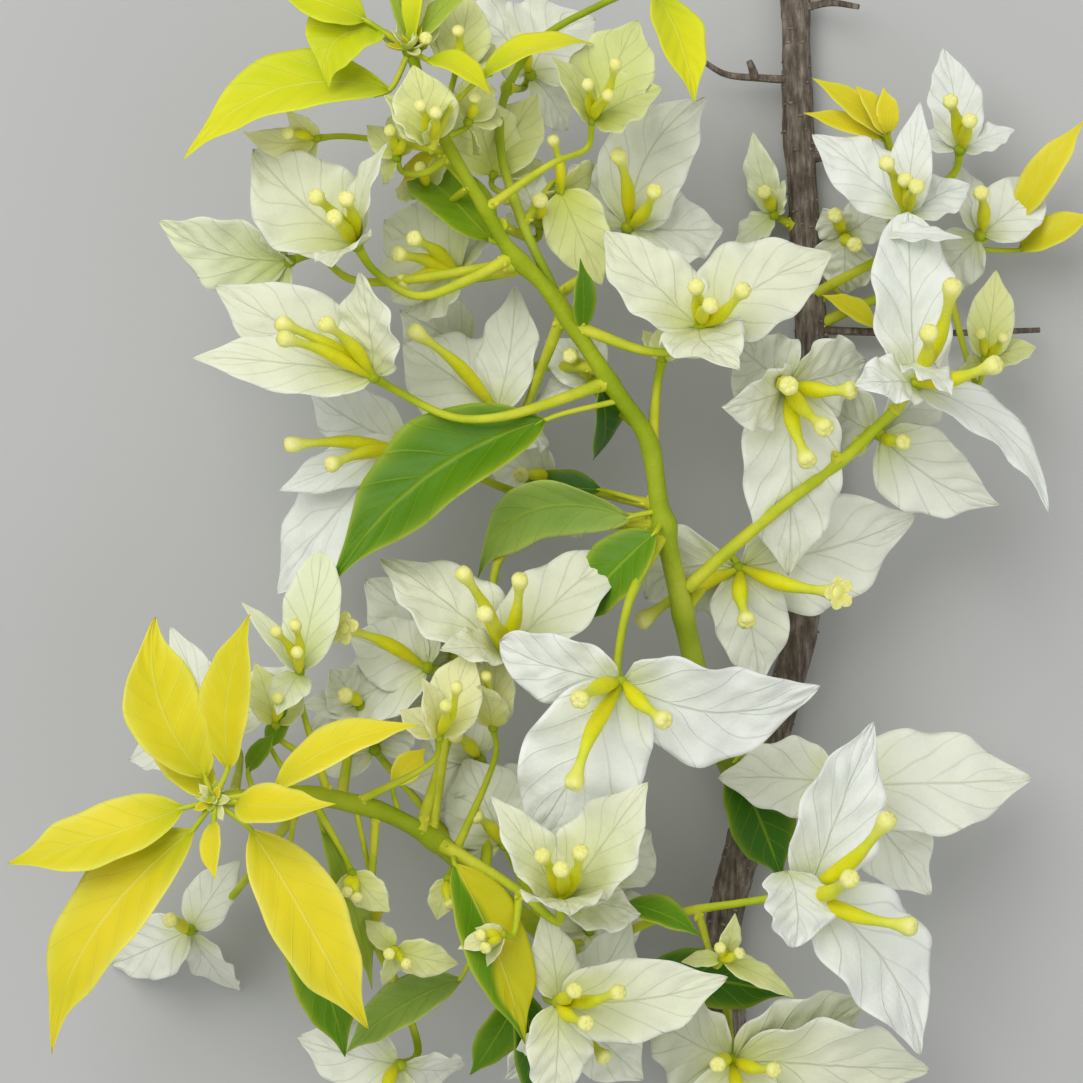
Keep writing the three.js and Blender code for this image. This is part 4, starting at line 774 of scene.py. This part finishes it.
leaves = {
    "top_arching": leaf(["main_shoot", 88, 26], [96.6, 15.4, 70], [118.8, 8.8, 64], 9, [100, 40], "lime",
        arch=0.14),
    "top_right": leaf(["thin_shoot", 130.4, -3.4], [131.2, -1, 53], [138.8, 20.6, 58], 12, [10, 60], "lime",
        arch=0.1),
    "green_high": leaf(["main_shoot", 101, 49.6], [98, 48, 57], [81, 33, 48], 14, [60, 60], "light",
        arch=0.08, round=0.5, point=0.62, tail=0.15),
    "large": leaf(["main_shoot", 124, 80.6], [109, 84, 60], [66.4, 116.8, 58], 22, [135, 62], "green",
        arch=0.06, bow=-0.08, cup=0.34, pucker=0.45),
    "curled": leaf(["main_shoot", 131.8, 102], [126, 103.4, 53], [95.6, 115.6, 44], 14, [250, 60], "pale",
        arch=0.08, bow=-0.3),
    "by_node": leaf(["main_shoot", 132.4, 104], [131, 106.6, 55], [114.4, 126, 50], 14, [140, 60], "green",
        arch=0.1),
    "right_dark": leaf(["woody_stem", 152.6, 152], [146.8, 152.6, 26.6], [156.4, 176, 23], 15, [325, 70],
        "dark", arch=0.09),
    "folded": leaf(["low_twig", 122, 188], [125, 181, 55], [140.2, 187.4, 58], 8, [60, 45], "green",
        arch=0.12),
    "dark_low": leaf(["side_shoot", 122, 195], [129, 194, 36], [158, 199, 33], 13, [90, 70], "dark",
        arch=0.06),
    "yellow_green": leaf(["side_shoot", 91, 171.4], [91, 173, 62], [105, 208.8, 60], 15.4, [20, 60], "green",
        halves="amber", arch=0.08),
    "green_low": leaf(["side_shoot", 60, 158.8], [57.4, 176, 52], [69, 211.4, 40], 15, [30, 70], "green",
        arch=0.1),
    "pale_under": leaf(["side_shoot", 101, 177], [92, 196, 48], [69.2, 210.6, 44], 12, [110, 50], "pale",
        arch=0.12),
}
tufts = {
    "crown_tuft": {
        "on": "main_shoot", "heart": [82, 10, 71], "faces": [95, 40], "reach": 7.0,
        "leaves": [
            leaf(None, [78, 18, 70], [36.6, 32, 68], 17, [110, 55], "lime", arch=0.08, bow=-0.15),
            leaf(None, [76.4, 6.2, 71], [65.8, 17.6, 74], 15, [100, 60], "lime", arch=0.16, bow=-0.3),
            leaf(None, [73, 4, 72], [55, -1.6, 72], 11, [90, 60], "lime", arch=0.08),
            leaf(None, [85.4, 12, 73], [98.4, 19.4, 77], 7, [80, 50], "lime", arch=0.2),
            leaf(None, None, [74, -12, 70], 4.6, [20, 60], "bud", arch=0.1),
            leaf(None, None, [87, -14, 73], 5, [160, 60], "lime", arch=0.1),
            leaf(None, None, [96, -4, 68], 5.4, [120, 60], "bud", arch=0.1),
        ],
    },
    "rosette_tuft": {
        "on": "side_shoot", "heart": [42.8, 160.2, 70], "faces": [120, 68], "reach": 5.0,
        "leaves": [
            leaf(None, [41, 155.4, 71], [29.2, 124, 74], 16.5, [40, 65], "yellow", arch=0.06, bow=0.12,
                point=0.8, hook=-0.06),
            leaf(None, [45.6, 153.6, 72], [50, 122.8, 78], 12, [170, 65], "yellow", arch=0.06, bow=0.04),
            leaf(None, [55, 157.8, 73], [84, 145, 76], 10, [110, 50], "yellow", arch=0.1, bow=0.04),
            leaf(None, [47.4, 160.4, 73], [67.2, 160.8, 86], 9.8, [95, 55], "yellow", arch=0.12, bow=-0.12),
            leaf(None, [50.4, 166.2, 72], [72.2, 206.8, 70], 17, [50, 65], "yellow", arch=0.08, hook=0.04),
            leaf(None, [38.6, 166, 71], [7.8, 208.2, 70], 18.5, [130, 60], "yellow", arch=0.08, bow=-0.04,
                hook=0.08),
            leaf(None, [36.6, 161.6, 71], [1.4, 172.8, 72], 14, [90, 60], "yellow", arch=0.06, bow=0.05),
            leaf(None, [42.8, 164.4, 74], [43.2, 176, 82], 5.4, [250, 60], "yellow", arch=0.08),
            leaf(None, None, [30, 145, 60], 10, [40, 70], "yellow", arch=0.05),
        ],
    },
}

# Small organs that only the look has
smallBlooms = [
    bloom([84, 166.6, 54], [91, 131, 40], [120, 60],
        [[73, 116, 36, 20], [76, 141, 36, 18], [101, 143, 34, 14]], []),
    bloom([97, 176, 46], [96, 152, 36], [120, 60], [[88, 138, 34, 14], [81, 157, 34, 15], [99, 168, 34, 14]],
        [[91, 147, 46]]),
    bloom([97, 176, 46], [75, 150, 38], [120, 60], [[66, 138, 36, 12], [62, 152, 36, 12], [82, 143, 36, 14]],
        []),
    bloom([112, 190, 38], [118, 186, 26], [80, 60],
        [[112, 172, 24, 16], [130, 180, 24, 15], [112, 196, 24, 13]], [[119, 180, 36]]),
    bloom([131, 101, 50], [111, 96, 34], [160, 55],
        [[97, 92, 34, 13], [103, 106, 32, 13], [116, 108, 30, 11]], [[104, 95, 44]]),
    bloom([120, 73.6, 57], [94, 70, 32], [150, 60], [[80, 62, 30, 16], [86, 82, 30, 14], [104, 74, 30, 12]],
        []),
    bloom([68, 160.8, 59.4], [72.4, 141.4, 44], [60, 60],
        [[66, 134, 44, 13], [77, 145, 40, 12], [60, 141, 47, 7]], [[69, 139, 52]]),
    bloom([84, 166, 54], [89.6, 175.6, 50], [250, 50], [[87.4, 184, 48, 6], [94, 183, 48, 5]],
        [[90, 181, 54]], young=True),
    bloom([104, 178.4, 61], [100.6, 186.8, 67], [160, 50],
        [[91.6, 189.8, 68, 4.6], [97.4, 193.4, 66, 3.6], [95, 185.6, 71, 3.4]],
        [[96, 187, 72], [97, 189.6, 72]], young=True, tints="butter"),
    bloom([90.6, 30.6, 66], [79.4, 31.6, 60], [110, 50],
        [[84, 20, 56, 9], [73.4, 25, 58, 6], [76.6, 37, 56, 6]], [[78, 26, 68], [81, 26.6, 67]], young=True,
        via=[[85, 34.6, 62]]),
    bloom([94.4, 37.2, 65], [85.4, 38, 52], [120, 50], [[87, 29, 50, 8], [79, 38, 48, 8]], [[84, 33.4, 60]],
        young=True),
    bloom([88.4, 27.4, 66], [93.6, 24.4, 66], [60, 45],
        [[96.6, 14.4, 63, 9], [99.6, 22, 60, 9], [94.6, 31, 58, 8]], [[95, 19.4, 72]], young=True),
    bloom([86.4, 22.6, 67], [84.6, 9, 70], [60, 50], [[85.6, -2, 70, 4], [88, 3, 70, 3.5]], [[85.2, 7.6, 76]],
        young=True),
    bloom([100, 45, 62], [108, 44.6, 50], [80, 50], [[103, 34, 46, 12], [113, 50, 42, 14], [98, 47, 44, 9]],
        [[108, 40, 58]]),
    bloom([129, 86, 53], [118.6, 76.4, 46], [120, 50],
        [[109, 68, 44, 10], [116, 64, 42, 9], [107, 80, 42, 8]], [[114, 71, 54]]),
    bloom([158.6, 45, 5.4], [155, 43, 7], [150, 50],
        [[150.6, 26.4, 8, 8], [146.8, 49.8, 4, 8], [157, 36, 11, 6]], [[152.8, 38.4, 13]], tints="pearl"),
    bloom([126, 200, 24], [120.4, 176, 30], [90, 60],
        [[112, 160, 28, 18], [130, 166, 26, 16], [119, 188, 26, 12]], [[120, 170, 40]]),
]
smallLeaves = [
    leaf([80, 164, 55], [78.6, 157, 50], [85, 149.6, 46], 6, [60, 60], "yellow"),
    leaf([71, 160.9, 58.6], [74.4, 178, 50], [72.4, 188, 48], 5.6, [20, 60], "yellow"),
    leaf([95, 39, 64], [87, 31, 58], [80.4, 36.6, 54], 5, [90, 60], "yellow"),
    leaf([60, 159, 62], [54, 149, 58], [57.4, 140.6, 60], 4.6, [60, 60], "light"),
    leaf([51, 159.6, 65], [49.6, 154, 62], [55, 146.6, 62], 4.4, [90, 60], "light"),
    leaf([110, 188, 38], [104, 199, 34], [94, 215, 30], 9, [40, 60], "green"),
    leaf([131, 101, 50], [120, 98, 40], [101, 99.4, 34], 9, [80, 60], "dark"),
]


# Growing the branch

organs = {
    "stalkRadius": 0.86, "stalkSteps": 26, "petioleRadius": 0.62, "petioleSteps": 10, "youngShare": 0.75,
    "bractWidth": 1.04, "hub": 1.35, "tuftHub": 1.7, "axilBuds": 3, "nodeSwell": 0.16, "nodeLength": 2.6,
    "arrivalShare": 0.3, "arrivalLongest": 24.0,
}
stalkForm = {
    "foot": 1.5, "neck": 0.95, "neckAt": 0.6, "lowSwell": 0.45, "lowReach": 0.05, "highSwell": 0.4,
    "highFrom": 0.86, "highReach": 0.14,
}
youngForm = {"crease": 0.2, "ruffle": 0.08, "pucker": 0.14}
flowerForm = {
    # Places along a flower and its radius there: foot, swelling, neck and head.
    "profile": [
        (0.0, 0.7), (0.07, 0.95), (0.15, 1.25), (0.25, 1.55), (0.36, 1.7), (0.47, 1.62), (0.57, 1.36),
        (0.68, 1.04), (0.79, 1.0), (0.87, 1.35), (0.93, 1.9), (0.98, 2.0), (1.02, 1.7), (1.035, 0.3),
    ],
    "length": 20, "steps": 24, "girth": 0.86, "bend": 0.05, "sides": 12, "ridge": 0.06, "lobes": 5,
    "lobeOut": 0.85, "lobeSize": 1.1, "petal": 2.8,
}
budForm = {"leaves": 13, "golden": 137.5, "spread": (74.0, 14.0), "length": (1.0, 0.55), "slim": 0.5}
budTints = ("young", "butter", "bud", "yellow")
# Where the random draws of each kind start, and the steps from one bloom, tuft or bud to the next.
seeds = {
    "leaves": 9000, "tuftLeaves": 9500, "buds": 9700, "smallBlooms": 12000, "smallLeaves": 14000,
    "bloom": 100, "smallBloom": 60, "tuft": 20, "bud": 40,
}

limbPaths = {name: smoothPath([place(seen) for seen in limb[0]], 240) for name, limb in limbs.items()}
stalks, flowers, shoots, hearts, lobes, buds = [], [], [], [], [], []
sheets = {"bract": [], "young": [], "green": [], "yellow": []}


def startOf(row, stalk=None):
    start = row["start"]
    if isinstance(start, float):
        return pathAt(stalk, start)
    if isinstance(start[0], str):
        path, wanted = limbPaths[start[0]], place([*start[1:], view["middleHeight"]])
        return path[np.hypot(path[:, 0] - wanted[0], path[:, 1] - wanted[1]).argmin()]
    return place(start)


def leafPiece(row):
    return "yellow" if row["tints"] in ("yellow", "lime") or "halves" in row else "green"


def growLeaf(row, start, seed):
    foot = place(row["base"]) if row["base"] else start
    tip = place(row["tip"])
    blade = {**row, "base": foot, "tip": tip, "face": direction(row["faces"])}
    sheets[leafPiece(row)].append(bladeSheet(blade, "leaf", row["tints"], seed))
    if row["base"]:
        path = smoothPath([start, foot, foot + (tip - foot) * 0.08], organs["petioleSteps"])
        stalks.append((path, np.linspace(1.0, 0.75, len(path)) * organs["petioleRadius"]))


def growStalk(path, radius, seed):
    # Thick at its foot, thinner to its middle, and swollen under the bracts, with buds in its axil.
    form = stalkForm
    share = np.linspace(0, 1, len(path))
    taper = form["foot"] - (form["foot"] - form["neck"]) * np.minimum(1, share / form["neckAt"])
    low = form["lowSwell"] * np.exp(-((share / form["lowReach"]) ** 2))
    high = form["highSwell"] * np.clip((share - form["highFrom"]) / form["highReach"], 0, 1) ** 2
    stalks.append((path, radius * (taper + low + high)))
    axil = unit(path[2] - path[0])
    for k in range(organs["axilBuds"]):
        lean = unit(axil + 0.7 * np.array([math.sin(2.1 * k + seed), math.cos(2.1 * k + seed), 0.8]))
        buds.append((path[1] + lean * radius * 1.6, lean, 0.34 + 0.1 * ((k + seed) % 3)))


def growFlower(foot, head, girth, opened, turn, seed):
    # A tube from foot to head, with closed lobes or open petals on its top.
    aside = unit(np.cross(head - foot, [0.2, 0.3, 1.0])) * np.linalg.norm(head - foot) * flowerForm["bend"]
    path = smoothPath([foot, (foot + head) / 2 + aside, head], flowerForm["steps"])
    ahead, profile = unit(path[-1] - path[-2]), flowerForm["profile"]
    line = np.array([
        pathAt(path, min(at, 1.0)) + ahead * max(0, at - 1) * flowerForm["length"] for at, wide in profile
    ])
    flowers.append((line, np.array([wide for at, wide in profile]) * girth))
    top, axle = line[-3], unit(line[-1] - line[-4])
    star = unit(axle * 0.5 + np.array([0.0, 0.0, 1.0]))
    petal = flowerForm["petal"]
    for k in range(flowerForm["lobes"]):
        out = around(axle, [0.3, 0.9, 0.2], 2 * math.pi * (k + turn) / flowerForm["lobes"])
        if opened:
            out = unit(out - star * np.dot(out, star))
            blade = {
                "base": top + out * 0.7 + star * 0.6, "tip": top + out * (0.7 + petal) + star * 1.3,
                "face": star, "width": petal, "round": 0.35, "point": 0.3,
            }
            sheets["young"].append(bladeSheet(blade, "bract", "cream", seed + k))
        else:
            lobes.append((top + out * flowerForm["lobeOut"] * girth, axle, flowerForm["lobeSize"] * girth))


def growBloom(row, start, seed):
    heart, axis = place(row["heart"]), direction(row["faces"])
    kind = "young" if row.get("young") else "bract"
    size = organs["youngShare"] if kind == "young" else 1.0
    via = [place(seen) for seen in row.get("via", [])]
    reach = np.linalg.norm(heart - start)
    last = heart - axis * organs["arrivalShare"] * min(reach, organs["arrivalLongest"])
    stalk = smoothPath([start, *via, last, heart], organs["stalkSteps"])
    growStalk(stalk, row.get("stalk", organs["stalkRadius"] * size), seed)
    hub = organs["hub"] * size
    hearts.append((heart, hub))
    outward = [unit(place(seen) - heart) for seen in row["tips"]]
    for i, seen in enumerate(row["tips"]):
        extra = seen[-1] if isinstance(seen[-1], dict) else {}
        width, bow = [*(value for value in seen if value is not extra), 0.0][3:5]
        blade = {
            **(youngForm if kind == "young" else {}), "tip": place(seen), "face": axis,
            "base": heart + outward[i] * hub * 0.35 - axis * hub * 0.2, "width": width * organs["bractWidth"],
            "bow": bow, "greenTo": row.get("greenTo"), **extra,
        }
        if "foot" in extra:
            blade["base"] = place(extra["foot"])
        if "faces" in extra:
            blade["face"] = direction(extra["faces"])
        sheets[kind].append(bladeSheet(blade, "bract", row.get("tints", kind), seed + i))
    girth = size * row.get("girth", flowerForm["girth"])
    for i, seen in enumerate(row["heads"]):
        foot = heart + outward[i % len(outward)] * hub * 0.5 + axis * hub * 0.4
        growFlower(foot, place(seen), girth, i in row.get("open", []), 0.3 * i, seed + 60)
    for i, given in enumerate(row.get("leaves", [])):
        growLeaf(given, startOf(given, stalk), seed + 20 + i)
    for i, given in enumerate(row.get("sides", [])):
        growBloom(given, startOf(given, stalk), seed + 40 + i)


def growBud(heart, axis, reach, seed):
    # Small folded leaves packed round a shoot's end, each a golden angle on from the last and more upright.
    rng = np.random.default_rng(seed)
    (lowest, highest), (longest, shortest) = budForm["spread"], budForm["length"]
    for k in range(budForm["leaves"]):
        share = k / (budForm["leaves"] - 1)
        out = around(axis, [0.2, 0.9, 0.1], math.radians(budForm["golden"] * k))
        lean = math.radians(lowest + (highest - lowest) * share)
        along = out * math.sin(lean) + axis * math.cos(lean)
        length = reach * (longest + (shortest - longest) * share) * rng.uniform(0.8, 1.15)
        foot = heart + along * organs["tuftHub"] * 0.3
        blade = {
            "base": foot, "tip": foot + along * length, "width": length * budForm["slim"], "cup": 0.5,
            "face": unit(axis * math.sin(lean) - out * math.cos(lean) + axis * 0.05), "arch": -0.08,
            "crease": 0.1,
        }
        tintName = budTints[k % len(budTints)]
        piece = "yellow" if tintName == "yellow" else "young"
        sheets[piece].append(bladeSheet(blade, "leaf", tintName, seed + k))


nodesOn = {name: [] for name in limbs}
for n, row in enumerate(blooms.values()):
    nodesOn[row["start"][0]].append(startOf(row))
    growBloom(row, startOf(row), seeds["bloom"] * n)
for n, row in enumerate(smallBlooms):
    growBloom(row, startOf(row), seeds["smallBlooms"] + seeds["smallBloom"] * n)
for n, row in enumerate(smallLeaves):
    growLeaf(row, startOf(row), seeds["smallLeaves"] + n)
for n, row in enumerate(leaves.values()):
    growLeaf(row, startOf(row), seeds["leaves"] + n)
for n, tuft in enumerate(tufts.values()):
    heart, hub = place(tuft["heart"]), organs["tuftHub"]
    hearts.append((heart, hub))
    growBud(heart, direction(tuft["faces"]), tuft["reach"], seeds["buds"] + seeds["bud"] * n)
    end, thin = limbPaths[tuft["on"]][-1], limbs[tuft["on"]][1][1]
    shoots.append((smoothPath([end, (end + heart) / 2, heart], 6), [thin] * 7))
    for i, row in enumerate(tuft["leaves"]):
        outward = unit(place(row["base"] or row["tip"]) - heart)
        growLeaf(row, heart + outward * hub * 0.5, seeds["tuftLeaves"] + seeds["tuft"] * n + i)
for name, (route, (foot, tip)) in limbs.items():
    if name == "woody_stem":
        continue
    path = limbPaths[name][::2]
    radii = np.linspace(foot, tip, len(path))
    for spot in nodesOn[name]:
        away = np.linalg.norm(path - spot, axis=1)
        radii = radii * (1 + organs["nodeSwell"] * np.exp(-((away / organs["nodeLength"]) ** 2)))
    (stalks if name.endswith("twig") else shoots).append((path, radii))
for heart, hub in hearts:
    line = [heart + np.array([0, 0, z]) * hub for z in (-1, -0.85, -0.4, 0, 0.4, 0.85, 1)]
    shoots.append((line, hub * np.array([0.1, 0.55, 0.92, 1.0, 0.92, 0.55, 0.1])))
print("branch grown:", len(hearts), "hearts,", len(flowers), "flowers")


# The woody stem

barkForm = {"sides": 40, "steps": 360, "snagSteps": 40, "relief": 0.55, "octaves": 4, "depth": 0.25}
lenticelForm = {"count": 260, "size": (0.22, 0.42), "long": 2.2, "seed": 11}


def barkLimb(points, radii, seed):
    path = smoothPath(points, barkForm["steps" if len(points) > 5 else "snagSteps"])
    count, sides = len(path), barkForm["sides"]
    radius = np.interp(np.linspace(0, 1, count), np.linspace(0, 1, len(radii)), radii)
    tangent = np.gradient(path, axis=0)
    tangent /= np.linalg.norm(tangent, axis=1, keepdims=True)
    normal = np.zeros_like(path)
    normal[0] = unit(np.cross(tangent[0], [0.0, 0.3, 1.0]))
    for i in range(1, count):
        normal[i] = unit(normal[i - 1] - tangent[i] * np.dot(normal[i - 1], tangent[i]))
    binormal = np.cross(tangent, normal)
    verts = []
    for i in range(count):
        for k in range(sides):
            a = 2 * math.pi * k / sides
            out = normal[i] * math.cos(a) + binormal[i] * math.sin(a)
            where = Vector((path[i][1] * 0.09 + seed, math.cos(a) * 1.6, math.sin(a) * 1.6))
            rough = noise.fractal(where, 0.8, 2.1, barkForm["octaves"]) * barkForm["relief"] * radius[i] / 4
            verts.append(path[i] + out * (radius[i] - barkForm["depth"] * min(1, radius[i] / 4) + rough))
    faces = [
        (r * sides + k, r * sides + (k + 1) % sides, (r + 1) * sides + (k + 1) % sides, (r + 1) * sides + k)
        for r in range(count - 1) for k in range(sides)
    ]
    faces.append(tuple(range(sides))[::-1])
    faces.append(tuple(range((count - 1) * sides, count * sides)))
    return verts, faces


barkVerts, barkFaces, lenticels = [], [], []
for n, (route, radii) in enumerate([limbs["woody_stem"], *snags]):
    verts, faces = barkLimb([place(seen) for seen in route], radii, 7.3 * n)
    barkFaces += [tuple(v + len(barkVerts) for v in face) for face in faces]
    barkVerts += verts
spread = np.random.default_rng(lenticelForm["seed"])
for pick in spread.integers(0, barkForm["steps"] - 2, lenticelForm["count"]):
    spot = int(pick) * barkForm["sides"] + int(spread.integers(0, barkForm["sides"]))
    beside = spot + 1 if (spot + 1) % barkForm["sides"] else spot - 1
    across = unit(barkVerts[beside] - barkVerts[spot])
    lenticels.append((barkVerts[spot], across, spread.uniform(*lenticelForm["size"])))


# The pieces, their slots and the nodes that they stand for

named = {kind: ["bloom_" + name for name, row in blooms.items() if row.get("young", False) == young]
         for kind, young in (("white", False), ("young", True))}
for kind in ("green", "yellow"):
    named[kind] = ["leaf_" + name for name, row in leaves.items() if leafPiece(row) == kind]
twigs = [name for name in limbs if name.endswith("twig")]
thinLimbs = [name for name in limbs if name != "woody_stem" and name not in twigs]
sides, ridge = flowerForm["sides"], flowerForm["ridge"]
for piece, slot, stands in (
    (newMesh("bark_woody", barkVerts, barkFaces, barkSkin), "woody_bark", ["woody_stem"]),
    (knobs("bark_lenticels", lenticels, 1, lenticelForm["long"], lenticelSkin), "woody_bark", []),
    (skinPaths("green_shoots", shoots, 16, 0.04, shootSkin), "green_stem", thinLimbs),
    (skinPaths("green_stalks", stalks, 8, 0.06, stalkSkin), "green_stem", twigs),
    (knobs("axil_buds", buds, 2, 1.9, stalkSkin), "green_stem", []),
    (knobs("flower_caps", lobes, 2, 1.1, capSkin), "young_bract", []),
    (skinPaths("tubular_flowers", flowers, sides, ridge, flowerSkin), "young_bract", []),
    (joinSheets("white_bracts_1", sheets["bract"][0::2], bractSkin), "white_bract", named["white"]),
    (joinSheets("white_bracts_2", sheets["bract"][1::2], bractSkin), "white_bract", named["white"]),
    (joinSheets("young_bracts", sheets["young"], bractSkin), "young_bract", named["young"]),
    (joinSheets("green_leaves", sheets["green"], greenSkin), "green_leaf", named["green"]),
    (joinSheets("yellow_leaves", sheets["yellow"], yellowSkin), "yellow_leaf", [*named["yellow"], *tufts]),
):
    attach(piece, "root")
    if stands:
        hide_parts(*stands)
print("pieces joined to the frame")


# Floor, light and camera

studio = {
    "floor": (0.50, 0.50, 0.485, 1), "floorHalf": 3000, "floorHeight": -0.6, "key": 9.4, "fill": 3.0,
    "sky": 0.56, "skyColour": (0.95, 0.97, 1.0, 1), "aim": (0, 0, 0.03), "sensor": 36.0,
}


def areaLight(name, where, size, power):
    light = bpy.data.lights.new(name, "AREA")
    light.shape = "SQUARE"
    light.size = size
    light.energy = power
    lamp = addObject(name, light)
    lamp.location = where
    lamp.rotation_euler = (Vector(studio["aim"]) - Vector(where)).to_track_quat("-Z", "Y").to_euler()


floorMaterial, _, floorSkin = startMaterial("pale floor", {"roughness": 0.9, "specular": 0.1})
floorSkin.inputs["Base Color"].default_value = studio["floor"]
half, low = studio["floorHalf"], studio["floorHeight"]
corners = [(-half, -half, low), (half, -half, low), (half, half, low), (-half, half, low)]
newMesh("floor", corners, [(0, 1, 2, 3)], floorMaterial)
areaLight("key", (-0.45, 0.55, 1.1), 0.9, studio["key"])
areaLight("fill", (0.8, -0.5, 0.9), 1.2, studio["fill"])
world = bpy.data.worlds.new("studio")
world.use_nodes = True
world.node_tree.nodes["Background"].inputs[0].default_value = studio["skyColour"]
world.node_tree.nodes["Background"].inputs[1].default_value = studio["sky"]
bpy.context.scene.world = world
bpy.context.scene.view_settings.view_transform = "Standard"

lens = bpy.data.cameras.new("camera")
lens.sensor_width = studio["sensor"]
lens.lens = studio["sensor"] / (view["side"] / (view["eyeHeight"] - view["middleHeight"]))
lens.clip_start = 0.01
camera = addObject("camera", lens)
camera.location = (-view["originAcross"] / 1000, -view["originUp"] / 1000, view["eyeHeight"] / 1000)
bpy.context.scene.camera = camera
